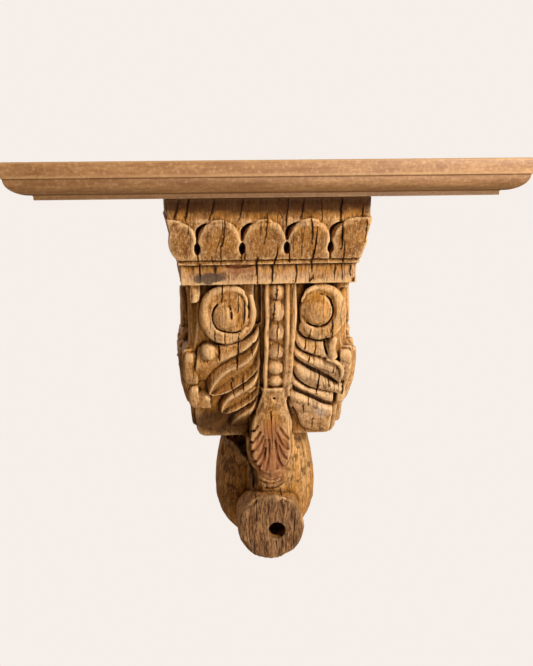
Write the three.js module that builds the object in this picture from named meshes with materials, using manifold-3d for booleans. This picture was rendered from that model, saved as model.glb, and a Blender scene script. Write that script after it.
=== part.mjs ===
// Carved wooden corbel bracket under a moulded shelf board.
// Millimetres, +Z up, +X to the right seen from the front, the front faces -Y.
// Heights are drawn from the top of the corbel (z = 0) and depths from the wall (y = 0).
// The whole bracket is then lifted so that the origin is the middle of the wall face.

import * as THREE from "three";
import { mergeVertices } from "three/addons/utils/BufferGeometryUtils.js";
import { ParametricGeometry } from "three/addons/geometries/ParametricGeometry.js";
import Module from "manifold-3d";

const wasm = await Module();
wasm.setup();

const { degToRad, lerp, smoothstep } = THREE.MathUtils;

// Shelf board: an upright fascia, an ovolo and a bottom fillet on the front and both ends
const shelfWidth = 350;
const shelfDepth = 175;
const shelfThickness = 25;
const shelfFascia = 11;
const shelfOvoloHeight = 10.5;
const shelfOvoloReach = 15;
const shelfQuirk = 1;
const shelfEasing = 0.8;
const jointGap = 0.3;

// Corbel block: half widths at the front, and how much wider it is at the wall
const mountBelowTop = 110;
const blockHeight = 188.5;
const frontReach = 148;
const splay = 0.13;
const topHalf = 71;
const topBandHeight = 14;
const topBandHollow = 2;

// Row of arched petals under the top band, five on the front, with drilled holes between them
const petalPitch = 31.5;
const petalWidth = 27.5;
const petalRowShift = -3.5;
const petalSpring = 28;
const petalFoot = 43;
const petalReach = 145;
const petalLean = 9;
const petalProud = 6;
const petalHalf = 71.5;
const petalTaper = 6.5;
const drillWidth = 4.5;
const drillHeight = 8;
const drillDrop = 33.8;
const drillDepth = 9;
const sideGaps = 4;
const sideFirstGap = 118;

// Fillet and plain band under the petals
const filletBottom = 46.5;
const filletHalf = 64.5;
const filletReach = 140.5;
const bandBottom = 61;
const bandHalf = 62;
const bandReach = 137.5;

// Sunk panel below the band: drop and reach of its ground, falling back in a long curve
const groundDrops = [bandBottom, 85, 105, 125, 145, 165, 180, blockHeight];
const groundReaches = [127, 125, 121, 113, 103, 94, 88, 85];

// Front half width of the block below the band: a recess, a broad middle and a narrower foot
const bodyDrops = [bandBottom, 76, 107, 112, 118, 140, 155, 158, 172, 182.5, 186.5, blockHeight];
const bodyHalves = [58.5, 57, 57.5, 61.5, 62.5, 60.5, 57, 53.5, 53, 52, 50, 46];

// Central strip: two rails with a string of beads between them
const stripLeft = -5;
const stripRight = 17;
const stripBottom = 146;
const railWidth = 4;
const railProud = 8.5;
const channelProud = 5.5;
const beadHeights = [11.8, 16.7, 15, 14.5, 12.8, 10.3];
const beadWidth = 15;
const beadProud = 10.5;

// Deep hollow between the left rail and its volute
const hollowLeft = -10.5;
const hollowRight = stripLeft - 0.5;
const hollowBottom = 92;
const hollowDepth = 5;

// Flaring wedge under the beads and the palmette shield hanging from it
const wedgeTop = 142;
const wedgeBottom = 168;
const wedgeTopHalf = 6.5;
const wedgeBottomHalf = 13.5;
const wedgeProud = 10.5;
const wedgeCentre = 4;
const shieldCentre = 2.4;
const shieldTop = 168;
const shieldLength = 47;
const shieldHalf = 15.5;
const shieldStraight = 27;
const shieldReachTop = 100;
const shieldLeanDeg = 17;
const shieldThickness = 10;
const tongueMargin = 3;
const tongueThickness = 40;
const shieldFlutes = 8;
const fluteSpreadDeg = 128;
const fluteWidth = 2.4;
const fluteLength = 44;
const fluteStart = 9;

// Bulb under the block, stub with a peg hole, and the neck between shield and stub
const bulbCentreX = 1.4;
const bulbCentreY = -40;
const bulbDepthShare = 1.19;
const bulbDrops = [188, 204, 214, 226, 240, 254, 265, 273, 280.5, 285.5, 287];
const bulbRadii = [33, 37.5, 39.5, 41.5, 42.5, 41.8, 38.5, 34, 27, 17, 0];
const stubX = 0.9;
const stubDrop = 253.3;
const stubRadius = 25.8;
const stubReach = 120;
const stubChamfer = 1.6;
const pegX = 5.3;
const pegDrop = 255.7;
const pegRadius = 6.7;
const pegDepth = 30;
const neckHalf = 14;
const neckReach = 99;
const neckDrop = 224;
const neckHeight = 24;
const neckDepth = 40;

// Scroll panels: the left and the right one differ a little, as hand carving does
const scrollProud = 8;
const eyeShare = 0.53;
const leafProud = 8;
const budProud = 9;
const leftPanel = {
  hand: -1,
  rail: -6,
  stretch: 1,
  lift: 0,
  volute: { x: -32.7, drop: 84.3, rx: 18.6, rz: 22.2 },
  bud: { x: -43.7, drop: 113.3, rx: 6.4, rz: 7.4 },
};
const rightPanel = {
  hand: 1,
  rail: 18,
  stretch: 0.96,
  lift: 3,
  volute: { x: 38.9, drop: 83.7, rx: 17.8, rz: 20.9 },
  bud: { x: 48.7, drop: 110.7, rx: 5.2, rz: 7.6 },
};

// Leaves below a volute, from the rail outwards: upper and lower edge as (out, drop)
const scrollTail = {
  upper: [[-4, 86], [3, 94], [12, 101.5], [24, 105.5], [35, 109]],
  lower: [[-4, 99.5], [4.5, 107], [17, 116], [30, 122], [38, 119]],
};
const bigLeaf = {
  upper: [[-4, 101], [8, 109.5], [19, 117], [31, 122.5], [38.5, 128.5], [41, 137], [39, 147.5]],
  lower: [[-4, 129], [2, 135], [10, 142], [19.5, 147.5], [28, 150.4], [34, 150.6], [38, 149.3]],
};
const middleLeaf = {
  upper: [[-4, 132], [8, 142.5], [17, 150.8], [25, 154.5], [29, 160], [29.5, 165.5]],
  lower: [[-4, 146], [3, 154], [8, 160], [14.5, 165.3], [22.5, 167.8], [28.5, 167.6]],
};
const lowLeaf = {
  upper: [[-2, 150], [5, 160], [12, 167], [17, 170.5], [22.5, 177]],
  lower: [[-2, 162], [4, 171], [10, 177], [16, 180], [21.5, 180]],
};

// Corner masses beside the leaves, and plainer scrolls on the two sides
const cornerRolls = [[113, 141, 57.5, 6.5], [142, 162, 54.5, 6.5]];
const ledgeOut = 46.5;
const ledgeHalf = 8.5;
const ledgeTop = 145;
const ledgeBottom = 163;
const ledgeProud = 6.5;
const coveRadius = 12;
const coveOut = 64;
const coveReach = 127;
const coveTop = 66;
const coveBottom = 111;
const sideProud = 5;
const sideVolute = { y: -84, drop: 88, rx: 21, rz: 21 };
const sideLeaf = {
  upper: [[-108, 112], [-94, 114], [-66, 115], [-36, 121], [-18, 138]],
  lower: [[-106, 122], [-94, 134], [-70, 139], [-42, 141], [-22, 143]],
};
const sideBud = { y: -66, drop: 157, rx: 20, rz: 14.5 };

// Wood tones
const corbelColour = "#8a5f33";
const shelfColour = "#a5784b";
const corbelRoughness = 0.75;
const shelfRoughness = 0.6;

// How far every carving is rooted in the wood behind it
const rooted = 3;

// A closed geometry as a solid that can be joined and cut, turned right side out
function solid(geometry) {
  const bare = geometry.clone();
  bare.deleteAttribute("normal");
  bare.deleteAttribute("uv");
  const merged = mergeVertices(bare);
  const points = merged.attributes.position.array;
  const corners = merged.index.array;
  const kept = [];
  let volume = 0;
  const [a, b, c] = [new THREE.Vector3(), new THREE.Vector3(), new THREE.Vector3()];
  for (let i = 0; i < corners.length; i += 3) {
    const [p, q, r] = corners.slice(i, i + 3);
    if (p === q || q === r || r === p) continue;
    kept.push(p, q, r);
    a.fromArray(points, 3 * p);
    b.fromArray(points, 3 * q);
    c.fromArray(points, 3 * r);
    volume += a.dot(b.cross(c)) / 6;
  }
  if (volume < 0) kept.reverse();
  return new wasm.Manifold(new wasm.Mesh({
    numProp: 3,
    vertProperties: Float32Array.from(points),
    triVerts: Uint32Array.from(kept),
  }));
}

// All the given solids joined into one
function join(solids) {
  return solids.reduce((whole, next) => whole.add(next));
}

// A solid as a named mesh
function part(name, body, colour, roughness) {
  const { vertProperties, triVerts } = body.getMesh();
  const geometry = new THREE.BufferGeometry();
  geometry.setAttribute("position", new THREE.BufferAttribute(vertProperties, 3));
  geometry.setIndex(new THREE.BufferAttribute(triVerts, 1));
  geometry.computeVertexNormals();
  const material = new THREE.MeshStandardMaterial({ color: colour, roughness, metalness: 0 });
  const mesh = new THREE.Mesh(geometry, material);
  mesh.name = name;
  return mesh;
}

// Every vertex of a geometry moved by a function of its place
function moved(geometry, move) {
  const position = geometry.attributes.position;
  const point = new THREE.Vector3();
  for (let i = 0; i < position.count; i += 1) {
    move(point.fromBufferAttribute(position, i));
    position.setXYZ(i, point.x, point.y, point.z);
  }
  return geometry;
}

// A side profile drawn as (y, z), run along X to both sides of the middle
function alongX(shape, width, curveSegments) {
  const geometry = new THREE.ExtrudeGeometry(shape, { depth: width, bevelEnabled: false, curveSegments });
  return moved(geometry, (p) => p.set(p.z - width / 2, p.x, p.y));
}

// A front outline drawn as (x, z), run from a little behind the wall towards the front
function alongY(shape, depth, behind, curveSegments) {
  const geometry = new THREE.ExtrudeGeometry(shape, { depth, bevelEnabled: false, curveSegments });
  return moved(geometry, (p) => p.set(p.x, behind - p.z, p.y));
}

// A shape through points, the first of them where it starts
function outline(points) {
  return new THREE.Shape(points.map(([a, b]) => new THREE.Vector2(a, b)));
}

// Width factor at a depth: 1 at the front, wider towards the wall
function splayAt(y) {
  return 1 + splay * (1 + y / frontReach);
}

// A reading from paired lists of drops and values, straight between them
function reading(drops, values, drop) {
  const last = drops.length - 1;
  if (drop <= drops[0]) return values[0];
  if (drop >= drops[last]) return values[last];
  const i = drops.findIndex((d) => d > drop);
  return lerp(values[i - 1], values[i], (drop - drops[i - 1]) / (drops[i] - drops[i - 1]));
}

// Places on the carved faces: along the face, drop below the top, and height in front of it
function onPanel(a, drop, proud, target) {
  return target.set(a, -reading(groundDrops, groundReaches, drop) - proud, -drop);
}

function petalShare(drop) {
  return (drop - topBandHeight) / (petalFoot - topBandHeight);
}

function onPetals(a, drop, proud, target) {
  return target.set(a, petalLean * petalShare(drop) - petalReach - proud, -drop);
}

function onSidePetals(hand) {
  return (a, drop, proud, target) => {
    const half = (petalHalf - petalProud - petalTaper * petalShare(drop)) * splayAt(a);
    return target.set(hand * (half + proud), a, -drop);
  };
}

function onSide(hand) {
  return (a, drop, proud, target) => {
    const half = reading(bodyDrops, bodyHalves, drop) * splayAt(a);
    return target.set(hand * (half + proud), a, -drop);
  };
}

// A shape drawn as (along, -drop) raised from the wood to a height, with a rounded edge
function raised(shape, place, proud, edge, curveSegments = 6) {
  const geometry = new THREE.ExtrudeGeometry(shape, {
    depth: proud + rooted - edge,
    bevelEnabled: edge > 0,
    bevelThickness: edge,
    bevelSize: edge,
    bevelOffset: -edge,
    bevelSegments: 2,
    curveSegments,
  });
  return solid(moved(geometry, (p) => place(p.x, -p.y, p.z - rooted, p)));
}

// A carved swell: where(across, along) is its place on the face, height(across, along) its relief,
// stations the steps taken across it. Its edges and ends run into the wood.
function swell(where, height, place, stations, alongSteps) {
  const last = stations.length - 1;
  const surface = (loop, along, target) => {
    const turn = Math.round(2 * last * loop);
    const across = stations[turn <= last ? turn : 2 * last - turn];
    const inside = Math.min(across, 1 - across, along, 1 - along) > 1e-6;
    const proud = turn < last && inside ? height(across, along) : -rooted;
    const [a, drop] = where(across, along);
    return place(a, drop, proud, target);
  };
  return solid(new ParametricGeometry(surface, 2 * last, alongSteps));
}

// A cushion set in a face: a ball flattened towards a block, the more so the smaller the power
function cushion(a, drop, rx, rz, proud, place, power, widthSegments, heightSegments) {
  const fill = (v) => Math.sign(v) * Math.abs(v) ** power;
  const geometry = new THREE.SphereGeometry(1, widthSegments, heightSegments).rotateX(Math.PI / 2);
  const sink = rooted - 1;
  return solid(moved(geometry, (p) =>
    place(a + rx * fill(p.x), drop + rz * fill(p.z), (proud + sink) * fill(p.y) - sink, p)));
}

// The scroll of a volute: one full turn of a broad band that runs in to the eye
function voluteArm(ring, middle, hand, place, proud, steps) {
  const turnDeg = 430;
  const startDeg = -20;
  const tail = (s) => (1 - Math.min(s / 60, 1)) ** 2;
  const outerShare = (s) => 1.03 + 0.12 * tail(s) - 0.47 * smoothstep(s, 240, turnDeg);
  const innerShare = (s) => 0.58 + 0.3 * tail(s) - 0.1 * smoothstep(s, 240, turnDeg);
  const where = (across, along) => {
    const s = turnDeg * along;
    const angle = degToRad(startDeg - s);
    const share = lerp(outerShare(s), innerShare(s), across);
    const out = -hand * ring.rx * share * Math.cos(angle);
    return [middle + out, ring.drop - ring.rz * share * Math.sin(angle)];
  };
  const height = (across) => proud * (0.8 + 0.2 * Math.sin(Math.PI * across));
  return swell(where, height, place, [0, 0.07, 0.5, 0.93, 1], steps);
}

// A volute with a flat round eye on a low disc
function volute(ring, middle, hand, place, proud, steps) {
  const oval = (share) => {
    const shape = new THREE.Shape();
    shape.absellipse(middle, -ring.drop, share * ring.rx, share * ring.rz, 0, 2 * Math.PI);
    return shape;
  };
  return [
    raised(oval(0.85), place, 0.35 * proud, 0),
    voluteArm(ring, middle, hand, place, proud, steps),
    raised(oval(eyeShare), place, proud, 1.2),
  ];
}

// A leaf between two edges: a rim that rises to a crest, a groove below it and a hollow blade
function leaf(edges, toFace, place, proud) {
  const upper = new THREE.SplineCurve(edges.upper.map((e) => new THREE.Vector2(...e)));
  const lower = new THREE.SplineCurve(edges.lower.map((e) => new THREE.Vector2(...e)));
  const where = (across, along) => {
    const p = upper.getPoint(along).lerp(lower.getPoint(along), across);
    return toFace(p.x, p.y);
  };
  const rimStations = [0, 0.04, 0.2, 0.38, 0.46, 0.7, 0.95, 1];
  const rimHeights = [0.5, 0.5, 0.8, 1, 0.45, 0.6, 0.68, 0.5];
  const height = (across, along) =>
    proud * reading(rimStations, rimHeights, across) * lerp(0.65, 1, smoothstep(along, 0, 0.5));
  return swell(where, height, place, rimStations, 9);
}

// The shelf: the moulded profile along the front, cut by the same profile on the two ends
function makeShelf() {
  const front = shelfDepth;
  const half = shelfWidth / 2;
  const inset = shelfOvoloReach + shelfQuirk;
  const ovoloTop = shelfThickness - shelfFascia;
  const ovoloBottom = ovoloTop - shelfOvoloHeight;

  // The moulding from its bottom fillet up to the eased top edge, reaching out to the given size
  const moulding = (shape, reach) => {
    shape.lineTo(inset + shelfQuirk - reach, jointGap);
    shape.lineTo(inset + shelfQuirk - reach, ovoloBottom - shelfQuirk / 2);
    shape.lineTo(inset - reach, ovoloBottom);
    shape.absellipse(inset - reach, ovoloTop, shelfOvoloReach, shelfOvoloHeight, 1.5 * Math.PI, Math.PI, true);
    shape.lineTo(-reach, ovoloTop + shelfQuirk / 2);
    shape.lineTo(-reach, shelfThickness - shelfEasing);
    shape.lineTo(shelfEasing - reach, shelfThickness);
  };

  const side = new THREE.Shape();
  side.moveTo(0, jointGap);
  moulding(side, front);
  side.lineTo(0, shelfThickness);

  const leftEnd = new THREE.Shape();
  leftEnd.moveTo(0, jointGap);
  moulding(leftEnd, half);
  leftEnd.lineTo(0, shelfThickness);
  const leftPoints = leftEnd.getPoints(8);
  const rightPoints = leftPoints.map((p) => new THREE.Vector2(-p.x, p.y)).reverse();
  const ends = new THREE.Shape([...leftPoints.slice(1, -1), ...rightPoints.slice(1, -1)]);

  const board = solid(alongX(side, shelfWidth + 10, 8));
  return board.intersect(solid(alongY(ends, shelfDepth + 10, 5, 8)));
}

// The plain block: side profile cut by the splayed front outline
function makeBlock() {
  const profile = new THREE.Shape();
  profile.moveTo(0, 0);
  profile.lineTo(-frontReach, 0);
  profile.quadraticCurveTo(topBandHollow - frontReach, -topBandHeight / 2, -frontReach, -topBandHeight);
  profile.lineTo(-petalReach, -topBandHeight);
  profile.lineTo(petalLean - petalReach, -petalFoot);
  profile.lineTo(-bandReach, -petalFoot);
  profile.lineTo(-bandReach, -bandBottom);
  groundDrops.forEach((drop, i) => profile.lineTo(-groundReaches[i], -drop));
  profile.lineTo(0, -blockHeight);

  const halves = [
    [topHalf, 0],
    [topHalf - 0.5, topBandHeight],
    [petalHalf - petalProud, topBandHeight],
    [petalHalf - petalProud - petalTaper, petalFoot],
    [bandHalf, petalFoot],
    [bandHalf, bandBottom],
    ...bodyHalves.map((half, i) => [half, bodyDrops[i]]),
  ];
  const right = halves.map(([half, drop]) => [half, -drop]);
  const left = halves.map(([half, drop]) => [-half, -drop]).reverse();
  const front = alongY(outline([...right, ...left]), frontReach + 12, 6, 6);
  moved(front, (p) => p.set(p.x * splayAt(p.y), p.y, p.z));
  return solid(alongX(profile, 4 * topHalf, 5)).intersect(solid(front));
}

// The petals: a leaning course around front and sides, with the gaps between the arches cut out
function makePetals() {
  const reachTop = petalReach + petalProud;
  const profile = outline([
    [0, -topBandHeight],
    [-reachTop, -topBandHeight],
    [petalLean - reachTop, -petalFoot],
    [0, -petalFoot],
  ]);
  const plan = outline([
    [petalHalf, -topBandHeight],
    [petalHalf - petalTaper, -petalFoot],
    [petalTaper - petalHalf, -petalFoot],
    [-petalHalf, -topBandHeight],
  ]);
  const front = alongY(plan, frontReach + 12, 6, 2);
  moved(front, (p) => p.set(p.x * splayAt(p.y), p.y, p.z));
  const course = solid(alongX(profile, 4 * topHalf, 2)).intersect(solid(front));

  const gapHalf = (petalPitch - petalWidth) / 2;
  const arch = petalSpring - topBandHeight;
  const spandrel = (middle) => {
    const shape = new THREE.Shape();
    shape.moveTo(middle - petalPitch / 2, 1 - topBandHeight);
    shape.lineTo(middle + petalPitch / 2, 1 - topBandHeight);
    shape.lineTo(middle + petalPitch / 2, -topBandHeight - 0.3);
    shape.absellipse(middle + petalPitch / 2, -petalSpring, petalWidth / 2, arch - 0.3, Math.PI / 2, Math.PI);
    shape.lineTo(middle + 0.5 * gapHalf, -drillDrop);
    shape.lineTo(middle - 0.5 * gapHalf, -drillDrop);
    shape.lineTo(middle - gapHalf, -petalSpring);
    shape.absellipse(middle - petalPitch / 2, -petalSpring, petalWidth / 2, arch - 0.3, 0, Math.PI / 2);
    return shape;
  };
  const drill = (middle) => {
    const shape = new THREE.Shape();
    shape.absellipse(middle, -drillDrop, drillWidth / 2, drillHeight / 2, 0, 2 * Math.PI);
    return shape;
  };
  const cutters = (middle, place) => {
    const deeper = (a, drop, proud, target) => place(a, drop, proud - drillDepth, target);
    const above = (a, drop, proud, target) => place(a, drop, proud + rooted, target);
    return [raised(spandrel(middle), above, 12, 0, 3), raised(drill(middle), deeper, 22, 0, 3)];
  };

  const cuts = [];
  for (let i = -2; i < 2; i += 1) {
    cuts.push(...cutters(petalRowShift + (i + 0.5) * petalPitch, onPetals));
  }
  for (const hand of [-1, 1]) {
    for (let i = 0; i < sideGaps; i += 1) {
      cuts.push(...cutters(i * petalPitch - sideFirstGap, onSidePetals(hand)));
    }
  }
  return { course, cuts: join(cuts) };
}

// The thin fillet under the petals, wider at the wall like the block
function makeFillet() {
  const back = filletHalf * splayAt(0);
  const plan = outline([[-back, 0], [back, 0], [filletHalf, -filletReach], [-filletHalf, -filletReach]]);
  const geometry = new THREE.ExtrudeGeometry(plan, { depth: filletBottom - petalFoot, bevelEnabled: false });
  return solid(moved(geometry, (p) => p.setZ(p.z - filletBottom)));
}

// A strip down the panel between two edges, with enough points to follow its curve
function strip(left, right, top, bottom) {
  const steps = 8;
  const down = [];
  for (let i = 0; i <= steps; i += 1) down.push(lerp(top, bottom, i / steps));
  return outline([...down.map((d) => [right, -d]), ...down.reverse().map((d) => [left, -d])]);
}

// The rails and their beads
function makeStrip() {
  const middle = (stripLeft + stripRight) / 2;
  const top = bandBottom - 1;
  const pieces = [
    raised(strip(stripLeft, stripRight, top, stripBottom), onPanel, channelProud, 0),
    raised(strip(stripLeft, stripLeft + railWidth, top, stripBottom), onPanel, railProud, 1),
    raised(strip(stripRight - railWidth, stripRight, top, stripBottom), onPanel, railProud, 1),
  ];
  let drop = bandBottom;
  for (const height of beadHeights) {
    const half = height / 2 + 0.3;
    pieces.push(cushion(middle, drop + height / 2, beadWidth / 2, half, beadProud, onPanel, 1, 12, 8));
    drop += height;
  }
  return join(pieces);
}

// The hollow beside the left rail, as a cutter
function makeRailHollow() {
  const below = (a, drop, proud, target) => onPanel(a, drop, proud - hollowDepth + rooted, target);
  return raised(strip(hollowLeft, hollowRight, bandBottom + 0.5, hollowBottom), below, 8, 0);
}

// The wedge, the fluted shield below it and the neck behind them
function makeShield() {
  const wedge = strip(-1, 1, wedgeTop, wedgeBottom + 4);
  const flare = (p) => lerp(wedgeTopHalf, wedgeBottomHalf, (p - wedgeTop) / (wedgeBottom - wedgeTop));
  const onWedge = (a, drop, proud, target) => onPanel(wedgeCentre + a * flare(drop), drop, proud, target);

  const shieldOutline = (margin) => {
    const half = shieldHalf + margin;
    const length = shieldLength + margin;
    const shape = new THREE.Shape();
    shape.moveTo(-0.85 * half, margin);
    shape.quadraticCurveTo(-1.05 * half, -0.5 * shieldStraight, -half, -shieldStraight);
    shape.quadraticCurveTo(-0.95 * half, -0.88 * length, 0, -length);
    shape.quadraticCurveTo(0.95 * half, -0.88 * length, half, -shieldStraight);
    shape.quadraticCurveTo(1.05 * half, -0.5 * shieldStraight, 0.85 * half, margin);
    return shape;
  };
  const flat = (a, drop, proud, target) => target.set(a, shieldThickness - proud, -drop);
  let shield = raised(shieldOutline(0), flat, shieldThickness, 1.5, 6);
  for (let i = 0; i < shieldFlutes; i += 1) {
    const angle = degToRad(fluteSpreadDeg * (i / (shieldFlutes - 1) - 0.5));
    const flute = new THREE.CylinderGeometry(0.3 * fluteWidth, 0.7 * fluteWidth, fluteLength, 4);
    flute.translate(0, -fluteLength / 2 - fluteStart, 0);
    flute.rotateZ(angle);
    shield = shield.subtract(solid(moved(flute, (p) => p.set(p.x, -p.z, p.y))));
  }
  const behind = (a, drop, proud, target) => flat(a, drop, proud - tongueThickness + 4, target);
  const tongue = raised(shieldOutline(tongueMargin), behind, tongueThickness, 2, 6);
  const place = new THREE.Matrix4().makeRotationX(degToRad(-shieldLeanDeg));
  place.setPosition(shieldCentre, -shieldReachTop, -shieldTop);
  const hung = join([shield, tongue]).transform(place.toArray());

  const neck = new THREE.SphereGeometry(1, 16, 10);
  neck.scale(neckHalf, neckDepth, neckHeight).translate(shieldCentre, neckDepth - neckReach, -neckDrop);
  return join([raised(wedge, onWedge, wedgeProud, 1), hung, solid(neck)]);
}

// The bulb, cut flat at the wall, and the stub with its chamfered rim
function makeBulb() {
  const profile = bulbDrops.map((drop, i) => new THREE.Vector2(bulbRadii[i], -drop));
  profile.unshift(new THREE.Vector2(0, -bulbDrops[0]));
  const lathe = moved(new THREE.LatheGeometry(profile, 24), (p) =>
    p.set(bulbCentreX + p.x, bulbCentreY + bulbDepthShare * p.z, p.y));
  const behind = new THREE.BoxGeometry(300, 100, 400).translate(0, 50, -200);

  const length = stubReach + bulbCentreY;
  const stub = new THREE.CylinderGeometry(stubRadius, stubRadius, length - stubChamfer, 32);
  stub.translate(stubX, bulbCentreY - (length - stubChamfer) / 2, -stubDrop);
  const rim = new THREE.CylinderGeometry(stubRadius, stubRadius - stubChamfer, stubChamfer, 32);
  rim.translate(stubX, stubChamfer / 2 - stubReach, -stubDrop);
  return join([solid(lathe).subtract(solid(behind)), solid(stub), solid(rim)]);
}

// The blind hole for a peg in the stub's end
function makePegHole() {
  const peg = new THREE.CylinderGeometry(pegRadius, pegRadius, pegDepth + 10, 20);
  peg.translate(pegX, (pegDepth - 10) / 2 - stubReach, -pegDrop);
  return solid(peg);
}

// A scroll panel on the front: volute, bud and four leaves
function makeScrollPanel(panel) {
  const toFace = (out, drop) => [panel.rail + panel.hand * panel.stretch * out, drop - panel.lift];
  const leaves = [scrollTail, bigLeaf, middleLeaf, lowLeaf];
  const { x, drop, rx, rz } = panel.bud;
  return join([
    ...volute(panel.volute, panel.volute.x, panel.hand, onPanel, scrollProud, 26),
    cushion(x, drop, rx, rz, budProud, onPanel, 0.9, 12, 6),
    ...leaves.map((edges) => leaf(edges, toFace, onPanel, leafProud)),
  ]);
}

// Upright rolls and a ledge at a front corner
function makeCorner(hand) {
  const pieces = [[ledgeOut, ledgeTop, ledgeBottom, ledgeHalf, ledgeProud]];
  for (const [top, bottom, out, radius] of cornerRolls) {
    pieces.push([out, top, bottom, radius, radius]);
  }
  return join(pieces.map(([out, top, bottom, half, proud]) =>
    cushion(hand * out, (top + bottom) / 2, half, (bottom - top) / 2, proud, onPanel, 0.6, 12, 8)));
}

// The hollow that takes away a front corner beside a volute
function makeCove(hand) {
  const cove = new THREE.CylinderGeometry(coveRadius, coveRadius, coveBottom - coveTop, 16);
  cove.rotateX(Math.PI / 2).translate(hand * coveOut, -coveReach, -(coveTop + coveBottom) / 2);
  return solid(cove);
}

// The plainer scroll, leaf and bud on one side
function makeSide(hand) {
  const place = onSide(hand);
  const asDrawn = (y, drop) => [y, drop];
  return join([
    ...volute(sideVolute, sideVolute.y, 1, place, sideProud, 20),
    leaf(sideLeaf, asDrawn, place, sideProud),
    cushion(sideBud.y, sideBud.drop, sideBud.rx, sideBud.rz, sideProud, place, 0.6, 12, 8),
  ]);
}

// The carved block with everything on it, as one solid
function makeCorbel() {
  const petals = makePetals();
  const cuts = join([petals.cuts, makeCove(-1), makeCove(1), makeRailHollow()]);
  const carved = join([
    join([makeBlock(), petals.course]).subtract(cuts),
    makeFillet(),
    makeScrollPanel(leftPanel),
    makeScrollPanel(rightPanel),
    makeCorner(-1),
    makeCorner(1),
    makeSide(-1),
    makeSide(1),
    makeStrip(),
    makeShield(),
    makeBulb(),
  ]);
  return carved.subtract(makePegHole());
}

const bracket = new THREE.Group();
bracket.position.z = mountBelowTop;
bracket.add(part("corbel", makeCorbel(), corbelColour, corbelRoughness));
bracket.add(part("shelf_board", makeShelf(), shelfColour, shelfRoughness));

const object = new THREE.Group();
object.add(bracket);

export default object;
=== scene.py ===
"""Looks of an old carved corbel bracket that carries a moulded shelf board."""

import math
import random

import bpy
import numpy as np
from bpy.props import FloatProperty, FloatVectorProperty, IntProperty, PointerProperty
from mathutils import Matrix, Vector
from mathutils.bvhtree import BVHTree


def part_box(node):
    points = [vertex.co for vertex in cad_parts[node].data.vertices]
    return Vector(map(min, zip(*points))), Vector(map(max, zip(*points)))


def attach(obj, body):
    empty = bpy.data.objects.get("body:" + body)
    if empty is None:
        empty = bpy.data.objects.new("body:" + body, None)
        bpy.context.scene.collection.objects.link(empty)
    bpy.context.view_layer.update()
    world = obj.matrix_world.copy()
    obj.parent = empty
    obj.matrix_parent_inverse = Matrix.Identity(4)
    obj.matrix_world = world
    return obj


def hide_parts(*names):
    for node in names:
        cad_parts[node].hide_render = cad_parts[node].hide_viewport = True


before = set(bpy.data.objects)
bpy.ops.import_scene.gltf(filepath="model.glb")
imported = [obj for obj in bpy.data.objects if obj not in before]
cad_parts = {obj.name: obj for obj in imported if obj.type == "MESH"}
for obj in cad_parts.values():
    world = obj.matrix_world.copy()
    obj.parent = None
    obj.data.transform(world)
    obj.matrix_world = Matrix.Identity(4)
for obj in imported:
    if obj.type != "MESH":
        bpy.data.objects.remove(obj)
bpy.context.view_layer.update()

bl_info = {
    "name": "Carved Corbel Bracket",
    "version": (1, 0, 0),
    "blender": (4, 5, 0),
    "location": "3D View > Sidebar > Corbel",
    "description": "Weathered carved corbel with a moulded shelf board",
    "category": "Object",
}

MM = 0.001

# Heights are read as drops in millimetres below the corbel's top, as the carver would mark them
CORBEL_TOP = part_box("corbel")[1].z

# Drop and reach in front of the wall of the panel's ground, then of the courses above it
GROUND_DROPS = [61, 85, 105, 125, 145, 165, 180, 188.5]
GROUND_REACHES = [127, 125, 121, 113, 103, 94, 88, 85]
PETAL_DROPS = [14, 43]
PETAL_REACHES = [151, 142]

# Petals of the front as (middle, half width), the gaps between them, and the dark pocket that runs
# from a gap's hole up along the next petal as (beside the gap, drop, width)
PETALS = [(-60.9, 9.7), (-35, 14.5), (-3.6, 14.8), (27.6, 14.8), (56.4, 12.2)]
GAPS = [-50.6, -19.3, 12, 42.9]
POCKET = [(0, 44, 0.7), (0, 38, 1), (0, 28.5, 1.2), (0.1, 25, 2), (0.6, 22.2, 3.2), (2.2, 20, 2.4),
          (5.2, 18, 1.3), (10, 16, 0.5)]
EYELID = [(-0.6, 22.5, 1), (-3, 19.6, 0.9), (-6.6, 17.2, 0.8), (-11.5, 15.4, 0.4)]
HOLE = (34, 2.3, 4.5)
STUB_REACH = 120

# Beads between the rails as drops where one ends and the next begins
BEAD_ENDS = [60.6, 73, 89.6, 104.6, 119, 131.8, 142.3]
BEAD_MIDDLE = 5.5
BEAD_HALF = 6.5

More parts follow.
